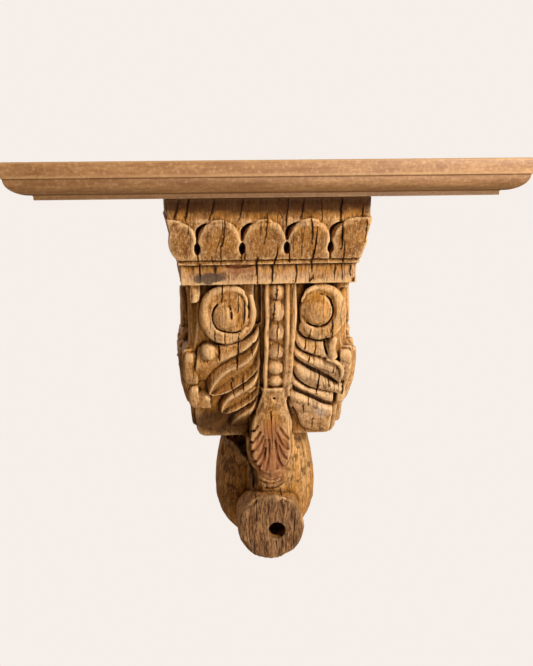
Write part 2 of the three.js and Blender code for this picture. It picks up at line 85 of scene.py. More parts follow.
# Leaves and bands lofted over the panel's ground: share of their height at the stem, then each edge from
# top to bottom as (height, [(across, drop) from stem to tip])
LEAF_DEPTH = 12
LEAVES = [
    # band under the left scroll, with the sunk slope below its end
    (0.4, [
        (3.2, [(-7.6, 92), (-10.4, 97.6), (-15, 102.2), (-22, 105.8), (-30, 107.8), (-38, 107.2),
               (-46, 106), (-52, 109)]),
        (6.8, [(-7.2, 94.5), (-10, 100.4), (-15, 105.4), (-22, 109.4), (-30, 112.4), (-38, 113.6),
               (-46, 114.4), (-53, 116)]),
        (8.8, [(-7, 97), (-9.6, 103), (-15, 108.6), (-22, 113), (-30, 116.8), (-38, 120.4),
               (-46, 123.4), (-54, 124)]),
        (4.4, [(-7, 98), (-9.4, 104), (-15, 110), (-22, 114.6), (-30, 119), (-38, 124), (-45, 130),
               (-54, 131)]),
        (1.5, [(-7, 99), (-9.2, 105), (-15, 112), (-22, 117), (-30, 122), (-38, 128), (-44, 136),
               (-54, 137)]),
    ]),
    # left great leaf: upper rim, crest, cupped face and lower rim
    (0.4, [
        (1.4, [(-7, 98.4), (-9.8, 104.6), (-15.5, 110.6), (-23, 115.6), (-31, 119.4), (-39, 124),
               (-44.6, 131.4), (-46.2, 140), (-45.2, 147.8)]),
        (9.6, [(-6.8, 102), (-9.6, 110.4), (-14.6, 117.6), (-21.4, 122.8), (-28.6, 126), (-35, 130.4),
               (-40.4, 136.6), (-43.6, 143), (-44.6, 148.2)]),
        (9.2, [(-6.7, 103.4), (-9.4, 112.2), (-14, 119.4), (-20.8, 124.8), (-28, 128), (-34, 132.4),
               (-39, 138.4), (-42.4, 144), (-44.3, 148.5)]),
        (2.4, [(-6.6, 108), (-9, 117.6), (-13, 125), (-19.4, 131), (-26.2, 135), (-32, 139.2),
               (-37, 143.4), (-41, 146.8), (-44, 148.9)]),
        (4.2, [(-6.5, 113), (-8.4, 124), (-12, 130.4), (-18, 136), (-24.4, 140.4), (-30.2, 144.4),
               (-35.8, 147.2), (-40.2, 148.8), (-43.7, 149.2)]),
        (7, [(-6.4, 116), (-8.2, 127), (-11.6, 132.8), (-17.4, 138.4), (-23.5, 142.8), (-29.5, 146.8),
             (-35.4, 149), (-40, 149.8), (-43.4, 149.6)]),
    ]),
    # left middle leaf
    (0.4, [
        (1.6, [(-6.4, 117), (-8.2, 128.4), (-12, 134.4), (-18, 139.8), (-24, 144.4), (-29.8, 148.6),
               (-34.6, 153.8), (-36.6, 160), (-36, 165.2)]),
        (7.8, [(-6.3, 119), (-8, 130.6), (-11.6, 137), (-17.2, 142.4), (-23, 146.8), (-28.6, 150),
               (-33.2, 154.8), (-35.6, 160.4), (-35.6, 165.5)]),
        (8.8, [(-6.2, 121), (-7.8, 133.4), (-11, 140), (-16.4, 145.4), (-22, 149.4), (-27.2, 152.4),
               (-31.6, 156.4), (-34.4, 161.4), (-35.3, 165.8)]),
        (2.6, [(-6.1, 126), (-7.6, 139), (-10.4, 146.6), (-15, 152.2), (-20, 156), (-25, 159),
               (-29.4, 161.8), (-33, 164.6), (-35, 166.1)]),
        (6.4, [(-6, 133), (-7.6, 147), (-10, 153.6), (-14, 157.8), (-18.6, 161.2), (-23.6, 164.2),
               (-28.6, 166.4), (-32.4, 167), (-34.7, 166.4)]),
    ]),
    # left low leaf
    (0.4, [
        (2, [(-6, 136), (-8, 150.5), (-11.4, 156.8), (-15.6, 161.4), (-20.4, 165), (-25, 168.2),
             (-28.6, 172), (-29.2, 177)]),
        (8.2, [(-6, 140), (-8.2, 155), (-11.4, 161.2), (-15.2, 165), (-19.6, 168), (-23.8, 171),
               (-26.9, 174.2), (-28.7, 177.4)]),
        (3.4, [(-6.2, 148), (-8.6, 161), (-11.4, 167.4), (-14.4, 170.8), (-18, 173.2), (-21.8, 175),
               (-25, 176.6), (-28.3, 177.8)]),
        (1, [(-6.4, 154), (-9, 166), (-11.6, 172.4), (-14.2, 175.6), (-17.4, 177.4), (-21, 178.2),
             (-24.6, 178.6), (-28, 178.4)]),
    ]),
    # left low block
    (0.9, [
        (1, [(-44.4, 150), (-49, 146.4), (-54.4, 146.2)]),
        (4.6, [(-44.2, 153), (-49, 149.8), (-54.4, 149.6)]),
        (5.2, [(-44, 156.4), (-49, 154.4), (-54.4, 154)]),
        (4, [(-43.6, 161.4), (-49, 161.4), (-54.4, 160.6)]),
    ]),
    # post beside the left scroll
    (1, [
        (4.5, [(-57, 61), (-57, 68), (-56.4, 75)]),
        (5.6, [(-53, 61), (-53, 68), (-53, 74.4)]),
        (3.6, [(-49.4, 61), (-49.6, 67), (-50.4, 73.4)]),
    ]),
    # ribbed leaf under the right scroll
    (0.5, [
        (3.4, [(20.2, 94), (21.6, 99.4), (25, 102.6), (30, 104.6), (35, 105.8), (40, 106.6), (46, 107.4)]),
        (6, [(19.4, 97), (21.2, 103.6), (24.6, 107.6), (29.4, 110.4), (34.6, 112), (40, 113.2),
             (46, 113.8)]),
        (7, [(19, 100), (20.8, 107), (24, 111.6), (29, 114.8), (34, 117), (39.6, 118.6), (46, 119.6)]),
    ]),
    # right second leaf
    (0.5, [
        (3.6, [(18.4, 101), (20, 109.4), (24, 113.8), (30, 117), (36, 118.8), (42, 120), (48.6, 121.2),
               (54, 124.4), (57, 130)]),
        (7, [(17.8, 104.6), (19.8, 113), (24, 117), (30, 120), (36, 122.4), (42, 124.6), (48, 127),
             (53, 130.4), (56.4, 134.4)]),
        (7.4, [(17.4, 107), (19.6, 115.2), (24, 119.2), (30, 122.6), (36, 125.6), (42, 128.6),
               (47.6, 131.8), (52.4, 135.4), (56, 138.6)]),
        (6.2, [(17.2, 109), (19.4, 117), (24, 121), (30, 124.8), (36, 128.2), (42, 131.6), (47.2, 135),
               (52, 138.8), (55.6, 141.6)]),
    ]),
    # right broad leaf
    (0.5, [
        (3.4, [(16.8, 112), (19.4, 120.4), (24, 124.4), (30, 128.4), (36, 132), (42, 135.6),
               (48, 139.4), (53.6, 143), (58.6, 145.4)]),
        (6.4, [(17, 116), (20, 125), (25, 130), (31, 134), (37, 137.4), (43, 140.4), (48.6, 143.2),
               (53.6, 145.6), (58.6, 147.4)]),
        (6.8, [(17.2, 120), (20.8, 129.6), (26, 135.4), (32, 139.4), (38, 142.4), (44, 144.8),
               (49, 146.8), (53.6, 148.4), (58.4, 149.4)]),
        (6, [(17.4, 123), (21.2, 133.6), (26.4, 139.8), (32, 143.8), (38, 146.2), (44, 147.8),
             (49, 149.2), (53.6, 150.2), (58, 150.8)]),
    ]),
    # notched strip under it
    (0.5, [
        (4, [(17.4, 126), (19.8, 135.4), (24.6, 140.8), (31, 145), (38, 147.6), (45, 149.4), (51, 150.8)]),
        (6.6, [(17, 129), (19.4, 138.6), (24.6, 143.6), (31.2, 147.4), (38, 150.4), (45, 153),
               (51, 154.6)]),
        (6, [(16.8, 132), (19, 141.4), (24.6, 146), (31.4, 149.6), (38.4, 153.2), (45, 156.6),
             (50.6, 158.6)]),
    ]),
    # right low leaf and the smooth block that it runs into
    (0.5, [
        (3.4, [(15.6, 134), (17.8, 145), (23, 149.4), (30, 153), (37.4, 157), (44.4, 160.8), (51.4, 163)]),
        (6.2, [(15.4, 138), (17.4, 149.4), (22.8, 153.6), (29.8, 157), (37, 160.8), (44.2, 164),
               (51.4, 166)]),
        (5.8, [(15.4, 142), (17.4, 153.6), (22.6, 158), (29.4, 161.6), (36.6, 165), (44, 168),
               (51.4, 170)]),
        (5, [(16, 147), (19.6, 160), (24.4, 166.6), (30.4, 170.4), (36.8, 173.2), (44, 175.4), (51, 177)]),
        (4.6, [(17.6, 152), (22.6, 167), (27, 176.4), (31.8, 179.4), (37.4, 181.4), (44, 182.8),
               (50, 183.6)]),
        (2.6, [(18.6, 155), (24, 170), (28, 180.4), (32.6, 183.4), (38, 185), (44, 185.8), (49.4, 185.6)]),
    ]),
]

# Smooth run of the wedge into the palmette: drops and reaches, then its edges as in the leaves
BRIDGE_DROPS = [156, 166, 172, 178, 186]
BRIDGE_REACHES = [108.5, 105.4, 104.4, 104.5, 105.4]
BRIDGE = (1, [
    (-5, [(-4.4, 156), (-8, 165), (-12, 172), (-13, 179), (-12.6, 186)]),
    (0, [(-2.8, 156), (-6, 165), (-9.6, 172), (-10.6, 179), (-10.4, 186)]),
    (0.4, [(4, 156), (3.8, 165), (3.6, 172), (3.4, 179), (3.2, 186)]),
    (0, [(10.4, 156), (13, 165), (16, 172), (16.6, 179), (16, 186)]),
    (-5, [(12.4, 156), (15.6, 165), (18.8, 172), (19.4, 179), (18.4, 186)]),
])

# Rolls that stand on the panel's ground: height of the crown, then (across, drop, radius) along it
ROLLS = [
    # tail of the left scroll
    (6.8, [(-13.4, 69, 1.4), (-12, 76, 2.1), (-11.7, 83, 2.7), (-13.4, 90.6, 3.2), (-18, 96.8, 3.6),
           (-24, 101, 4),
           (-31, 102.6, 4.2), (-38, 101, 4)]),
    # rounded rings of the scrolls
    (9.2, [(-16, 77, 0.6), (-16.6, 72, 1.4), (-18.8, 68, 2), (-22.4, 65.6, 2.6), (-29, 64.6, 3),
           (-37, 66.4, 3.6), (-43.4, 71.4, 4.2), (-46, 79, 4.4),
           (-45.8, 88, 4.6), (-42.4, 95.4, 4.6), (-36, 99.8, 4.4), (-28, 100.6, 4), (-21, 97.6, 3.4),
           (-17, 92, 2.8)]),
    (9.2, [(23.4, 75, 0.6), (25, 70.4, 1.2), (28, 67.2, 1.8), (34, 64.9, 2.6), (41.6, 65.6, 3.4),
           (48, 70, 4.4), (51, 77, 5), (51, 85, 5.2), (48, 92.8, 5.2),
           (41.6, 98, 5), (34, 98.6, 4.4), (27.6, 95.6, 3)]),
    # left rail, which runs on as the wedge's edge
    (8.8, [(-1.4, 60.5, 1.5), (-1.7, 72, 1.7), (-1.3, 86, 1.5), (-1.9, 100, 1.7), (-1.8, 114, 1.5),
           (-2.4, 126, 1.7),
           (-2, 138, 1.7), (-1.6, 144, 1.6), (-3, 150, 1.6), (-4.8, 158, 1.5), (-6.2, 166, 1.1)]),
    # right rail, two strands that part at the wedge
    (8.2, [(13.4, 60.5, 2), (13.6, 72, 2.2), (13.2, 86, 1.9), (13.6, 100, 2.2), (13.1, 112, 1.9),
           (13.6, 124, 2.2),
           (12.8, 138, 2), (13, 150, 1.7), (15, 163, 1.3)]),
    (7.8, [(17.6, 60.5, 2.2), (17.9, 76, 2.2), (18.2, 88, 2.1), (17.8, 98, 1.9), (16.9, 112, 1.9),
           (16.8, 128, 1.8),
           (15.6, 143, 1.5), (16.4, 152, 1.1)]),
    # tail of the right scroll
    (7.2, [(24, 91, 1.5), (24.6, 96, 2.5), (29, 99.4, 3.2), (36, 100.6, 3.4)]),
    # crest that curls round the end of the right second leaf
    (8.8, [(43, 120.4, 0.8), (49, 122, 1.5), (53.6, 125.6, 1.8), (56, 130.8, 1.8), (55.6, 137, 1.2)]),
    # right bud
    (8.6, [(49, 102.6, 2), (47, 108.4, 3.6), (46.8, 114.4, 4), (49.4, 120, 3)]),
]

# Domes in the right and left scroll and the ball at the left band's end, as (across, drop, half width,
# half height, height over the ground, depth)
DOMES = [
    (34.4, 81.4, 12, 12.4, 11.6, 9),
    (-30.6, 84.6, 10.6, 11.6, 10.4, 7),
    (-44.6, 112.2, 7, 7.2, 11, 8),
]

# Hollows cut with a gouge: height of the bottom over the ground, then (across, drop, radius)
HOLLOWS = [
    (-6, [(-6.4, 61.5, 2.6), (-6.4, 72, 2.8), (-6, 84, 2.5), (-5.4, 94, 2), (-5, 108, 1.5),
          (-5, 124, 1.3), (-4.8, 140, 1.1),
          (-6, 152, 1.1), (-8.6, 162, 0.8)]),
    (-2, [(36.5, 106, 1.2), (41.5, 106.4, 2), (45, 104.6, 1.2)]),
]

# Lines cut with a parting tool as (width, depth), then (across, drop); the wider ones have rounded shoulders
SHOULDERED = 1.5
LEFT_SPIRAL = [
    (-23, 63.3), (-20.7, 64.3), (-17.1, 68.1), (-14.9, 72.8), (-14.3, 80.8), (-16.4, 90.9),
    (-21.1, 95.6), (-25.8, 97.2), (-31.8, 96.4), (-37.7, 93.8), (-40.4, 89.3), (-41, 84.5),
    (-39.8, 79.3), (-36.5, 75.2), (-32.3, 72.9), (-29.4, 73.2),
]
RIGHT_SPIRAL = [
    (32.1, 61.9), (27.5, 63.9), (24.3, 69), (22.3, 73.6), (21.8, 77.8), (22.5, 83.5),
    (25.4, 88.4), (30.7, 92.4), (36.8, 94), (41.9, 92.2), (45.5, 88), (46.8, 83.1),
    (46.3, 78.4), (43.9, 73.1), (40.1, 70.2), (35.9, 69.2),
]
LINES = [
    (1.4, 4.4, LEFT_SPIRAL[:6]),
    (2.4, 4.4, LEFT_SPIRAL[5:]),
    (1.4, 4.6, RIGHT_SPIRAL[:6]),
    (2.6, 4.6, RIGHT_SPIRAL[5:]),
    (2.4, 3.2, [(-31.4, 77.4), (-28.9, 76.6), (-27.8, 79.5), (-27.4, 83.4), (-27.2, 87.4)]),
    (0.9, 1.4, [(-39, 80.4), (-36.6, 77.8), (-33.4, 76.8), (-30.4, 77.2)]),
    (1, 1.6, [(-40.1, 74.6), (-43.8, 76.4), (-48.5, 82), (-49.1, 87.7), (-46, 92.1), (-41.9, 94.2)]),
    (2, 4, [(-39.8, 102.5), (-37, 106.1), (-30.5, 107.3), (-21.2, 104.5), (-14.1, 99.7), (-9.9, 95.9)]),
    (1.7, 3.6, [(-40.6, 123.4), (-35.4, 121), (-28.5, 117.6), (-22, 114.6), (-16.1, 110.4), (-10.6, 105)]),
    (1.5, 3.2, [(-38, 150.4), (-33, 149.6), (-28, 147), (-23.5, 143.7), (-16.6, 138.6), (-10.6, 132.6),
                (-8, 128)]),
    (1.5, 3, [(-31, 167.4), (-26, 165.8), (-20.6, 163), (-15, 159), (-11.4, 155.4)]),
    (2.4, 5, [(22.8, 96.7), (25.2, 101.2), (30.9, 103.8), (37.1, 104.5), (44.1, 103.2), (50.2, 100.8)]),
    (1.6, 3.6, [(22.4, 97.4), (20.9, 103.6), (22.6, 109), (27, 113.2), (32, 116), (38, 117.8),
                (44.4, 118.8)]),
    (2.6, 5, [(18, 113.6), (20.6, 118.8), (27.5, 124.2), (36.9, 129.8), (44.9, 134.6), (53.6, 141.4)]),
    (1.5, 3.4, [(18.6, 130.6), (21.4, 135.6), (25.8, 140.4), (31.8, 144.4), (38, 146.6), (44, 148)]),
    (2.2, 4.6, [(17.4, 138.4), (20, 143.6), (26.6, 148.2), (33.6, 151.4), (41, 155.6), (47.4, 159.4)]),
    (1.5, 3.4, [(15.8, 147), (17.4, 153.2), (22.4, 157.9), (27, 160.4), (28.4, 163.4)]),
    (1.2, 2.5, [(26, 102.6), (28.3, 107), (26.2, 112.4)]),
    (1.2, 2.5, [(34, 105), (35.6, 110), (33.3, 116.8)]),
    (1, 2, [(24.6, 140.6), (23.6, 144.6)]),
    (1, 2, [(28.2, 143), (27.2, 147)]),
    (1, 2, [(31.8, 144.6), (31, 149)]),
    (1, 2, [(15.6, 60.5), (15.4, 72.5), (15.8, 84.4), (15.6, 94), (15.2, 106), (15.2, 118), (14.8, 130)]),
    (1.8, 4.5, [(14.4, 154), (15.6, 160), (17.3, 169)]),
    (1.6, 3.4, [(17.8, 163), (20.4, 170), (24.2, 178), (25.6, 183.5)]),
    (1.4, 2.6, [(21.2, 163.4), (25, 171.4), (27.6, 178.4)]),
    (2.4, 8, [(40.8, 105), (42, 110.4), (44.4, 118.2)]),
    (1.6, 4.5, [(-56.8, 61), (-55.8, 67.2), (-56.2, 74.2)]),
    (1.4, 2.4, [(-53.4, 108), (-53.2, 118)]),
    (1.6, 3.4, [(-47, 104.8), (-41.6, 105), (-37.6, 108.6), (-36.8, 113), (-39, 118), (-43.6, 120)]),
    (1.4, 3.4, [(-55, 143), (-54, 152), (-53.2, 160.5)]),
]

# Curved flutes of the palmette: (across, drop)
FLUTES = [
    [(-7.4, 175), (-10.4, 179.4), (-13.4, 182)],
    [(-5, 179.6), (-9, 185.4), (-13.6, 189.4)],
    [(-3.2, 183), (-6.9, 190), (-13.2, 196.6)],
    [(-2.2, 186.6), (-5.4, 196), (-11, 203.6)],
    [(-1.2, 189.6), (-3.6, 200), (-8, 207.4)],
    [(0.6, 186), (0.4, 197), (-2.5, 209.6)],
    [(5.4, 183.6), (6, 194.4), (6.7, 201), (6.1, 209)],
    [(7, 181), (10, 189.4), (16.2, 194.4)],
    [(9.4, 177), (13, 183.4), (17, 186.6)],
    [(7.6, 189), (10.6, 197.6), (14.6, 201.4)],
    [(7.6, 199.6), (9.4, 205), (11.4, 207.4)],
]

# Creases beside and across the neck, dents in the cheeks and a chip off the band: depth, then (across, drop,
# radius)
CREASES = [
    (6, [(-31, 198, 2), (-26, 195.5, 4.6), (-20.5, 197, 5.4), (-17, 203.5, 4), (-13, 211.5, 3.4),
         (-10.8, 219.5, 3.2), (-10.6, 229, 2.4)]),
    (11, [(-26, 195, 3.4), (-21, 197, 5), (-18, 201.5, 3)]),
    (1, [(-6, 214.6, 0.8), (-1, 217.4, 1), (4, 217.8, 1), (10, 215.4, 0.7)]),
    (1, [(-7, 218.6, 0.7), (-2, 221, 1), (4, 221.4, 1), (12, 218.6, 0.7)]),
    (1.2, [(-5, 224.4, 0.7), (1, 225.4, 1), (7, 224.6, 1), (13, 222, 0.7)]),
    (1.6, [(-32.6, 199, 1), (-34.6, 208, 1.6), (-34.4, 216, 1)]),
    (1.2, [(29.4, 197, 0.9), (32.4, 206, 1.5), (33, 214, 0.9)]),
    (1.8, [(-31, 48, 1), (-27.6, 47.4, 2.2), (-24, 48.6, 1.6), (-18, 47.6, 2), (-11, 46.8, 0.9)]),
]

# Skin of the neck from the palmette's foot down to the stub, as runs of (across, drop, reach) from the left
NECK_DEPTH = 40
NECK = [
    [(-12, 198, 98), (-9, 201, 107), (-4, 207.6, 111), (2, 210, 112.4), (8, 207.6, 111.2),
     (13, 201, 108.4), (16, 198, 100)],
    [(-15, 209, 82), (-11, 212, 101), (-5, 215.4, 109.6), (2, 216.8, 111), (9, 215.2, 109.6),
     (16, 210, 102), (22, 206, 80)],
    [(-17, 220, 82), (-13, 221, 95), (-6, 222.6, 106.6), (2, 223.4, 108.6), (10, 222.4, 107),
     (18, 218.6, 97), (25, 214, 77)],
    [(-20, 244, 80), (-14, 239, 90), (-6.6, 233, 105), (2, 232, 109), (11, 233, 106), (20, 239, 90),
     (25, 247, 77)],
]

# Nail holes in the left side as drops, and one in the wedge as (across, drop)
SIDE_NAILS = [60, 87]
WEDGE_NAIL = (5, 152.2)

# Half width of the block's plain sides at drops, measured at the front, and how much wider it is at the wall
SIDE_DROPS = [61, 76, 107, 112, 118, 140, 155, 158, 172, 182.5]
SIDE_HALVES = [58.5, 57, 57.5, 61.5, 62.5, 60.5, 57, 53.5, 53, 52]
SIDE_SPLAY = 0.13
SIDE_REACH = 148

# Plainer carving of the sides as (depth in front of the wall, drop, radius): a fan of leaves that springs
# from the foot of the block and stands out less on the left (-1), and the ribs of a leaf behind the scroll.
# The valleys are (depth below the leaves' crown, radius), and the clearing before it is (height, radius)
SIDE_PROUD = {-1: 3, 1: 5.2}
SIDE_VALLEY = (4, 2.4)
SIDE_CLEARING = (1, 12)
SIDE_RIB_HEIGHT = 2.8
SIDE_FAN = [
    [(76, 179, 4.2), (86, 160, 5.4), (96, 140, 6.6), (102, 123, 7.4), (104, 114, 3.2)],
    [(73, 179, 4.2), (78, 158, 5.4), (84, 138, 7.2), (86, 121, 8.6), (86, 111, 3.2)],
    [(70, 179, 4.2), (69, 157, 5.4), (67, 137, 7.6), (66, 120, 9), (65, 110, 3.2)],
    [(67, 179, 4.2), (60, 158, 5.4), (51, 138, 7.6), (46, 121, 9), (43, 111, 3.2)],
    [(64, 180, 4.2), (51, 163, 5.4), (37, 146, 7.6), (29, 130, 8.2), (25, 120, 3.2)],
    [(61, 180.5, 4), (46, 171, 5.2), (31, 160, 6.6), (21, 149, 7), (15, 142, 3.2)],
    [(57, 181, 3.8), (42, 178.5, 4.4), (28, 174.5, 5), (20, 169, 5), (15, 164, 3.2)],
]
SIDE_RIBS = [
    [(48, 64, 0.8), (35, 68, 2.8), (23, 78, 3), (15, 95, 0.8)],
    [(57, 69, 0.8), (46, 75, 2.8), (34, 85, 3.2), (25, 101, 0.8)],
    [(58, 84, 0.8), (50, 89, 2.6), (42, 97, 2.6), (36, 105, 0.8)],
]

# Chips off the stub's rim as (from, to) in degrees round it from the right, upwards, and their size
STUB_RIM = (0.9, 253.3, 25.8)
CHIPS = [(8, 30, 1.8), (52, 74, 2.6), (88, 100, 1.6), (112, 140, 2.8), (158, 176, 2), (196, 232, 3),
         (246, 262, 1.8),
         (284, 312, 2.6), (330, 346, 1.6)]

# Drying cracks as (across, drop) from end to end: wide ones, middling ones and fine ones
WIDE_CRACKS = [
    [(-54.8, -1), (-57.1, 10.5), (-58, 15.5)],
    [(50.9, -1), (50.1, 8.6), (49.8, 14.7), (49.4, 16.9)],
    [(32.8, 20.5), (32.6, 31.2), (31.3, 38.9), (30, 45.1), (30.7, 51.8)],
    [(50.5, 16.5), (50.8, 27.1), (50.8, 36.5)],
    [(5.8, 33), (4.4, 42.8), (3.4, 46.5), (2.2, 47), (2.4, 55.2), (1.6, 62)],
    [(-8.3, 40.6), (-8.9, 48.1), (-8.1, 54.1), (-8.7, 60.5)],
    [(-49.3, 45.5), (-49.1, 57.1)],
    [(13.7, 37), (14.2, 45.9)],
    [(60.8, 58), (59.6, 67.9)],
    [(39.4, 130), (38.8, 140.7), (38.1, 146.1), (37.3, 151)],
    [(-36.6, 105.5), (-36.5, 119)],
    [(-22.3, 104), (-22.8, 112.7), (-23.3, 119)],
    [(-23.5, 116), (-23.5, 127.5)],
    [(42.2, 101), (42.1, 109.8), (44.4, 117.5)],
    [(58.7, 139.5), (57.6, 151.5)],
]
MIDDLE_CRACKS = [
    [(-61.5, -1), (-64.4, 9.3), (-66.4, 13.5)],
    [(-37, -1), (-39.5, 7.6), (-42, 15)],
    [(-18.2, -1), (-19.8, 11), (-22.1, 16)],
    [(13.2, -1), (12.2, 9.7), (11.3, 17.4), (11.2, 24)],
    [(24, -1), (23.1, 9.8), (21.1, 14.5)],
    [(28.8, 14.5), (29.6, 21.4), (29.7, 32.3)],
    [(52.7, 30.5), (52.8, 38.1), (52.2, 43.8), (51.9, 48.9)],
    [(-31.3, 15), (-31.6, 19.6), (-32.3, 29.2), (-33.7, 33.6), (-34, 40.1), (-34.6, 46)],
    [(-50.3, 37), (-50.2, 46)],
    [(-19.8, 37), (-19.8, 45)],
    [(-17.7, 37), (-17.4, 43.3)],
    [(19.2, 46.6), (19.4, 55), (18.3, 60.4)],
    [(47.5, 46.6), (46.7, 58.5)],
    [(42.4, 35.5), (42.9, 44)],
    [(31.8, 57), (28.8, 59.8), (28.4, 65)],
    [(65.7, 5), (64.5, 14)],
    [(-33.5, 61), (-33.8, 66.8), (-34.2, 73.8)],
    [(-17.9, 73), (-17.7, 81.2), (-18.7, 91)],
    [(-39.6, 95), (-39.5, 103)],
    [(46.1, 89), (46.5, 103)],
    [(30.7, 95), (29.5, 104)],
    [(27.2, 103), (27.3, 108.3), (26.1, 113)],
    [(34.8, 105.5), (35.1, 111.7), (33, 117.5)],
    [(30.8, 116.5), (30, 123)],
    [(49.5, 126), (48.9, 132.6)],
    [(31.9, 151), (32.2, 161.5)],
    [(28.2, 161), (28.7, 168)],
    [(-26.8, 135), (-27.1, 141.6), (-25.3, 150)],
    [(-19.2, 134.5), (-18.6, 146)],
    [(-11.8, 105), (-12.2, 116)],
    [(5.6, 61), (5.6, 73.7)],
    [(4, 75.6), (2.6, 88.9)],
    # in the shield, the low block and the stub
    [(2.9, 164), (3, 174)],
    [(36.2, 173), (36.3, 182)],
    [(-10.7, 227), (-10.2, 241.9), (-12.3, 264.1), (-11.8, 274)],
    [(10, 226), (9.6, 233.6), (10.8, 243.5)],
    [(9.4, 261), (9.4, 270)],
    [(20.1, 242), (18.2, 258.8), (18.1, 270)],
    [(-3, 265), (-3.8, 277)],
    [(5.1, 263), (5.3, 270)],
    [(-0.9, 234), (-0.9, 242)],
]
FINE_CRACKS = [
    [(-1.8, 11), (-2.3, 19), (-3.1, 25.4), (-4.1, 31.5)],
    [(36.2, 1), (36.5, 12.1), (36.5, 16)],
    [(-38.1, 46.8), (-38.2, 52)],
    [(-40.7, 40), (-40.3, 45)],
    [(-56.3, 19), (-56.4, 24.5)],
    [(58.2, 49), (58.3, 56)],
    [(52.2, 48), (52.8, 58)],
    [(-21.9, 68), (-22.3, 76.9), (-22.6, 81.5)],
    [(-32.5, 95), (-32.4, 106)],
    [(-22, 97.5), (-22.3, 104)],
    [(46.2, 135), (46.8, 145)],
    [(31.4, 145), (30.5, 149)],
    [(-43.4, 148), (-44.1, 160)],
    [(68, 16.5), (67.2, 26.3), (66.9, 31)],
    [(6.5, 91), (6, 104)],
    [(7.5, 106), (6.2, 118)],
]


def linear(code):
    """An sRGB hex colour as linear values."""
    parts = [int(code[i:i + 2], 16) / 255 for i in (1, 3, 5)]
    return tuple(c / 12.92 if c <= 0.04045 else ((c + 0.055) / 1.055) ** 2.4 for c in parts)


def colour(name, code, description):
    """A colour setting whose default is a hex value."""
    return FloatVectorProperty(
        name=name, description=description, subtype="COLOR", size=3, min=0, max=1, default=linear(code)
    )


def length(name, millimetres, description):
    """A size setting in metres whose default is given in millimetres."""
    return FloatProperty(
        name=name, description=description, unit="LENGTH", min=0, precision=5, default=millimetres * MM
    )


def watts(name, power, description):
    """A light's power setting."""
    return FloatProperty(name=name, description=description, unit="POWER", min=0, default=power)


class CorbelSettings(bpy.types.PropertyGroup):
    """Sizes and colours of the carved block."""

    voxel: length("Carving fineness", 0.65, "Grid step at which the carving is remeshed")
    wear: IntProperty(name="Edge wear", description="Rounds of smoothing on carved edges", min=0, default=2)
    grain_depth: length("Grain depth", 0.5, "Depth of the furrows weathered between the fibres")
    lump_depth: length("Tool marks", 0.45, "Height of the uneven ground left by the gouge")
    wide_crack: length("Wide cracks", 1.05, "Width of the widest drying cracks")
    crack_depth: length("Crack depth", 8, "Depth of the drying cracks below the surface")
    triangles: IntProperty(name="Triangles", description="Most triangles before the cracks are cut",
                           min=20000, default=165000)
    light_wood: colour("Worn wood", "#d8a262", "Late wood on the worn faces")
    middle_wood: colour("Weathered wood", "#b47c40", "Common tone of the weathered faces")
    dark_wood: colour("Dark streaks", "#6e4014", "Dark streaks along the fibres")
    ochre: colour("Ochre patina", "#b9781f", "Old oil finish that is left beside the hollows")
    # dirt also paints shade: it darkens the hollows and narrow creases of the carving and the shelf's quirks
    dirt_and_shade: colour("Old dirt", "#361b06", "Dirt and old oil in the hollows")
    # soot is painted shade: near black at the bottom of holes, pockets and the deepest hollows
    deep_shade: colour("Soot", "#170a02", "Black dirt at the bottom of holes and pockets")
    # rubbed also paints highlights on the crests and edges, besides their wear
    rubbed_and_highlit: colour("Rubbed edges", "#ecbf88", "Edges rubbed bright by handling")


class ShelfSettings(bpy.types.PropertyGroup):
    """Sizes and colours of the shelf board."""

    easing: length("Eased edges", 0.7, "Rounding of the board's edges")
    light_wood: colour("Light grain", "#b28353", "Pale wood between the grain lines")
    dark_wood: colour("Dark grain", "#845731", "Grain lines along the board")
    # worn also paints light on the fillet, the lower ovolo and the arrises; dirt also paints shade in the
    # quirks
    worn_and_lit: colour("Worn arrises", "#c89c6a", "Sharp edges rubbed pale")
    dirt_and_shade: colour("Dirt in the quirks", "#573519", "Dirt in the moulding's narrow grooves")


class StageSettings(bpy.types.PropertyGroup):
    """Floor, light and backdrop."""

    floor_drop: length("Floor below", 900, "How far the floor lies below the wall mount")
    key_power: watts("Key light", 26, "Power of the main light")
    fill_power: watts("Fill light", 12, "Power of the weak front light")
    back_power: watts("Back light", 14, "Power of the light behind")
    ambient: FloatProperty(name="Ambient", description="Light from all round", min=0, default=0.24)
    glow: colour("Ambient colour", "#f4d6b0", "Warm light thrown back by the room")
    backdrop: colour("Backdrop", "#f6efe9", "Pale floor and background")


def only(piece):
    """Select one object and nothing else."""
    bpy.ops.object.select_all(action="DESELECT")
    piece.select_set(True)
    bpy.context.view_layer.objects.active = piece


def apply_modifier(piece, kind, **settings):
    """Put a modifier on a piece with its settings, and apply it."""
    only(piece)
    bpy.ops.object.modifier_add(type=kind)
    modifier = piece.modifiers[-1]
    for key, value in settings.items():
        setattr(modifier, key, value)
    bpy.ops.object.modifier_apply(modifier=modifier.name)


def welded(piece, threshold=1e-7, outwards=True):
    """Merge a piece's loose points and turn its faces outwards."""
    only(piece)
    bpy.ops.object.mode_set(mode="EDIT")
    bpy.ops.mesh.select_all(action="SELECT")
    bpy.ops.mesh.remove_doubles(threshold=threshold)
    if outwards:
        bpy.ops.mesh.normals_make_consistent(inside=False)
    bpy.ops.object.mode_set(mode="OBJECT")
    return piece


def node_copy(node, name):
    """A CAD node's mesh as a new piece with its loose triangles merged."""
    bpy.ops.object.select_all(action="DESELECT")
    bpy.ops.object.add(type="MESH")
    piece = bpy.context.object
    piece.name = name
    piece.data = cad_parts[node].data.copy()
    piece.data.name = name
    piece.data.materials.clear()
    return welded(piece, 1e-6, False)


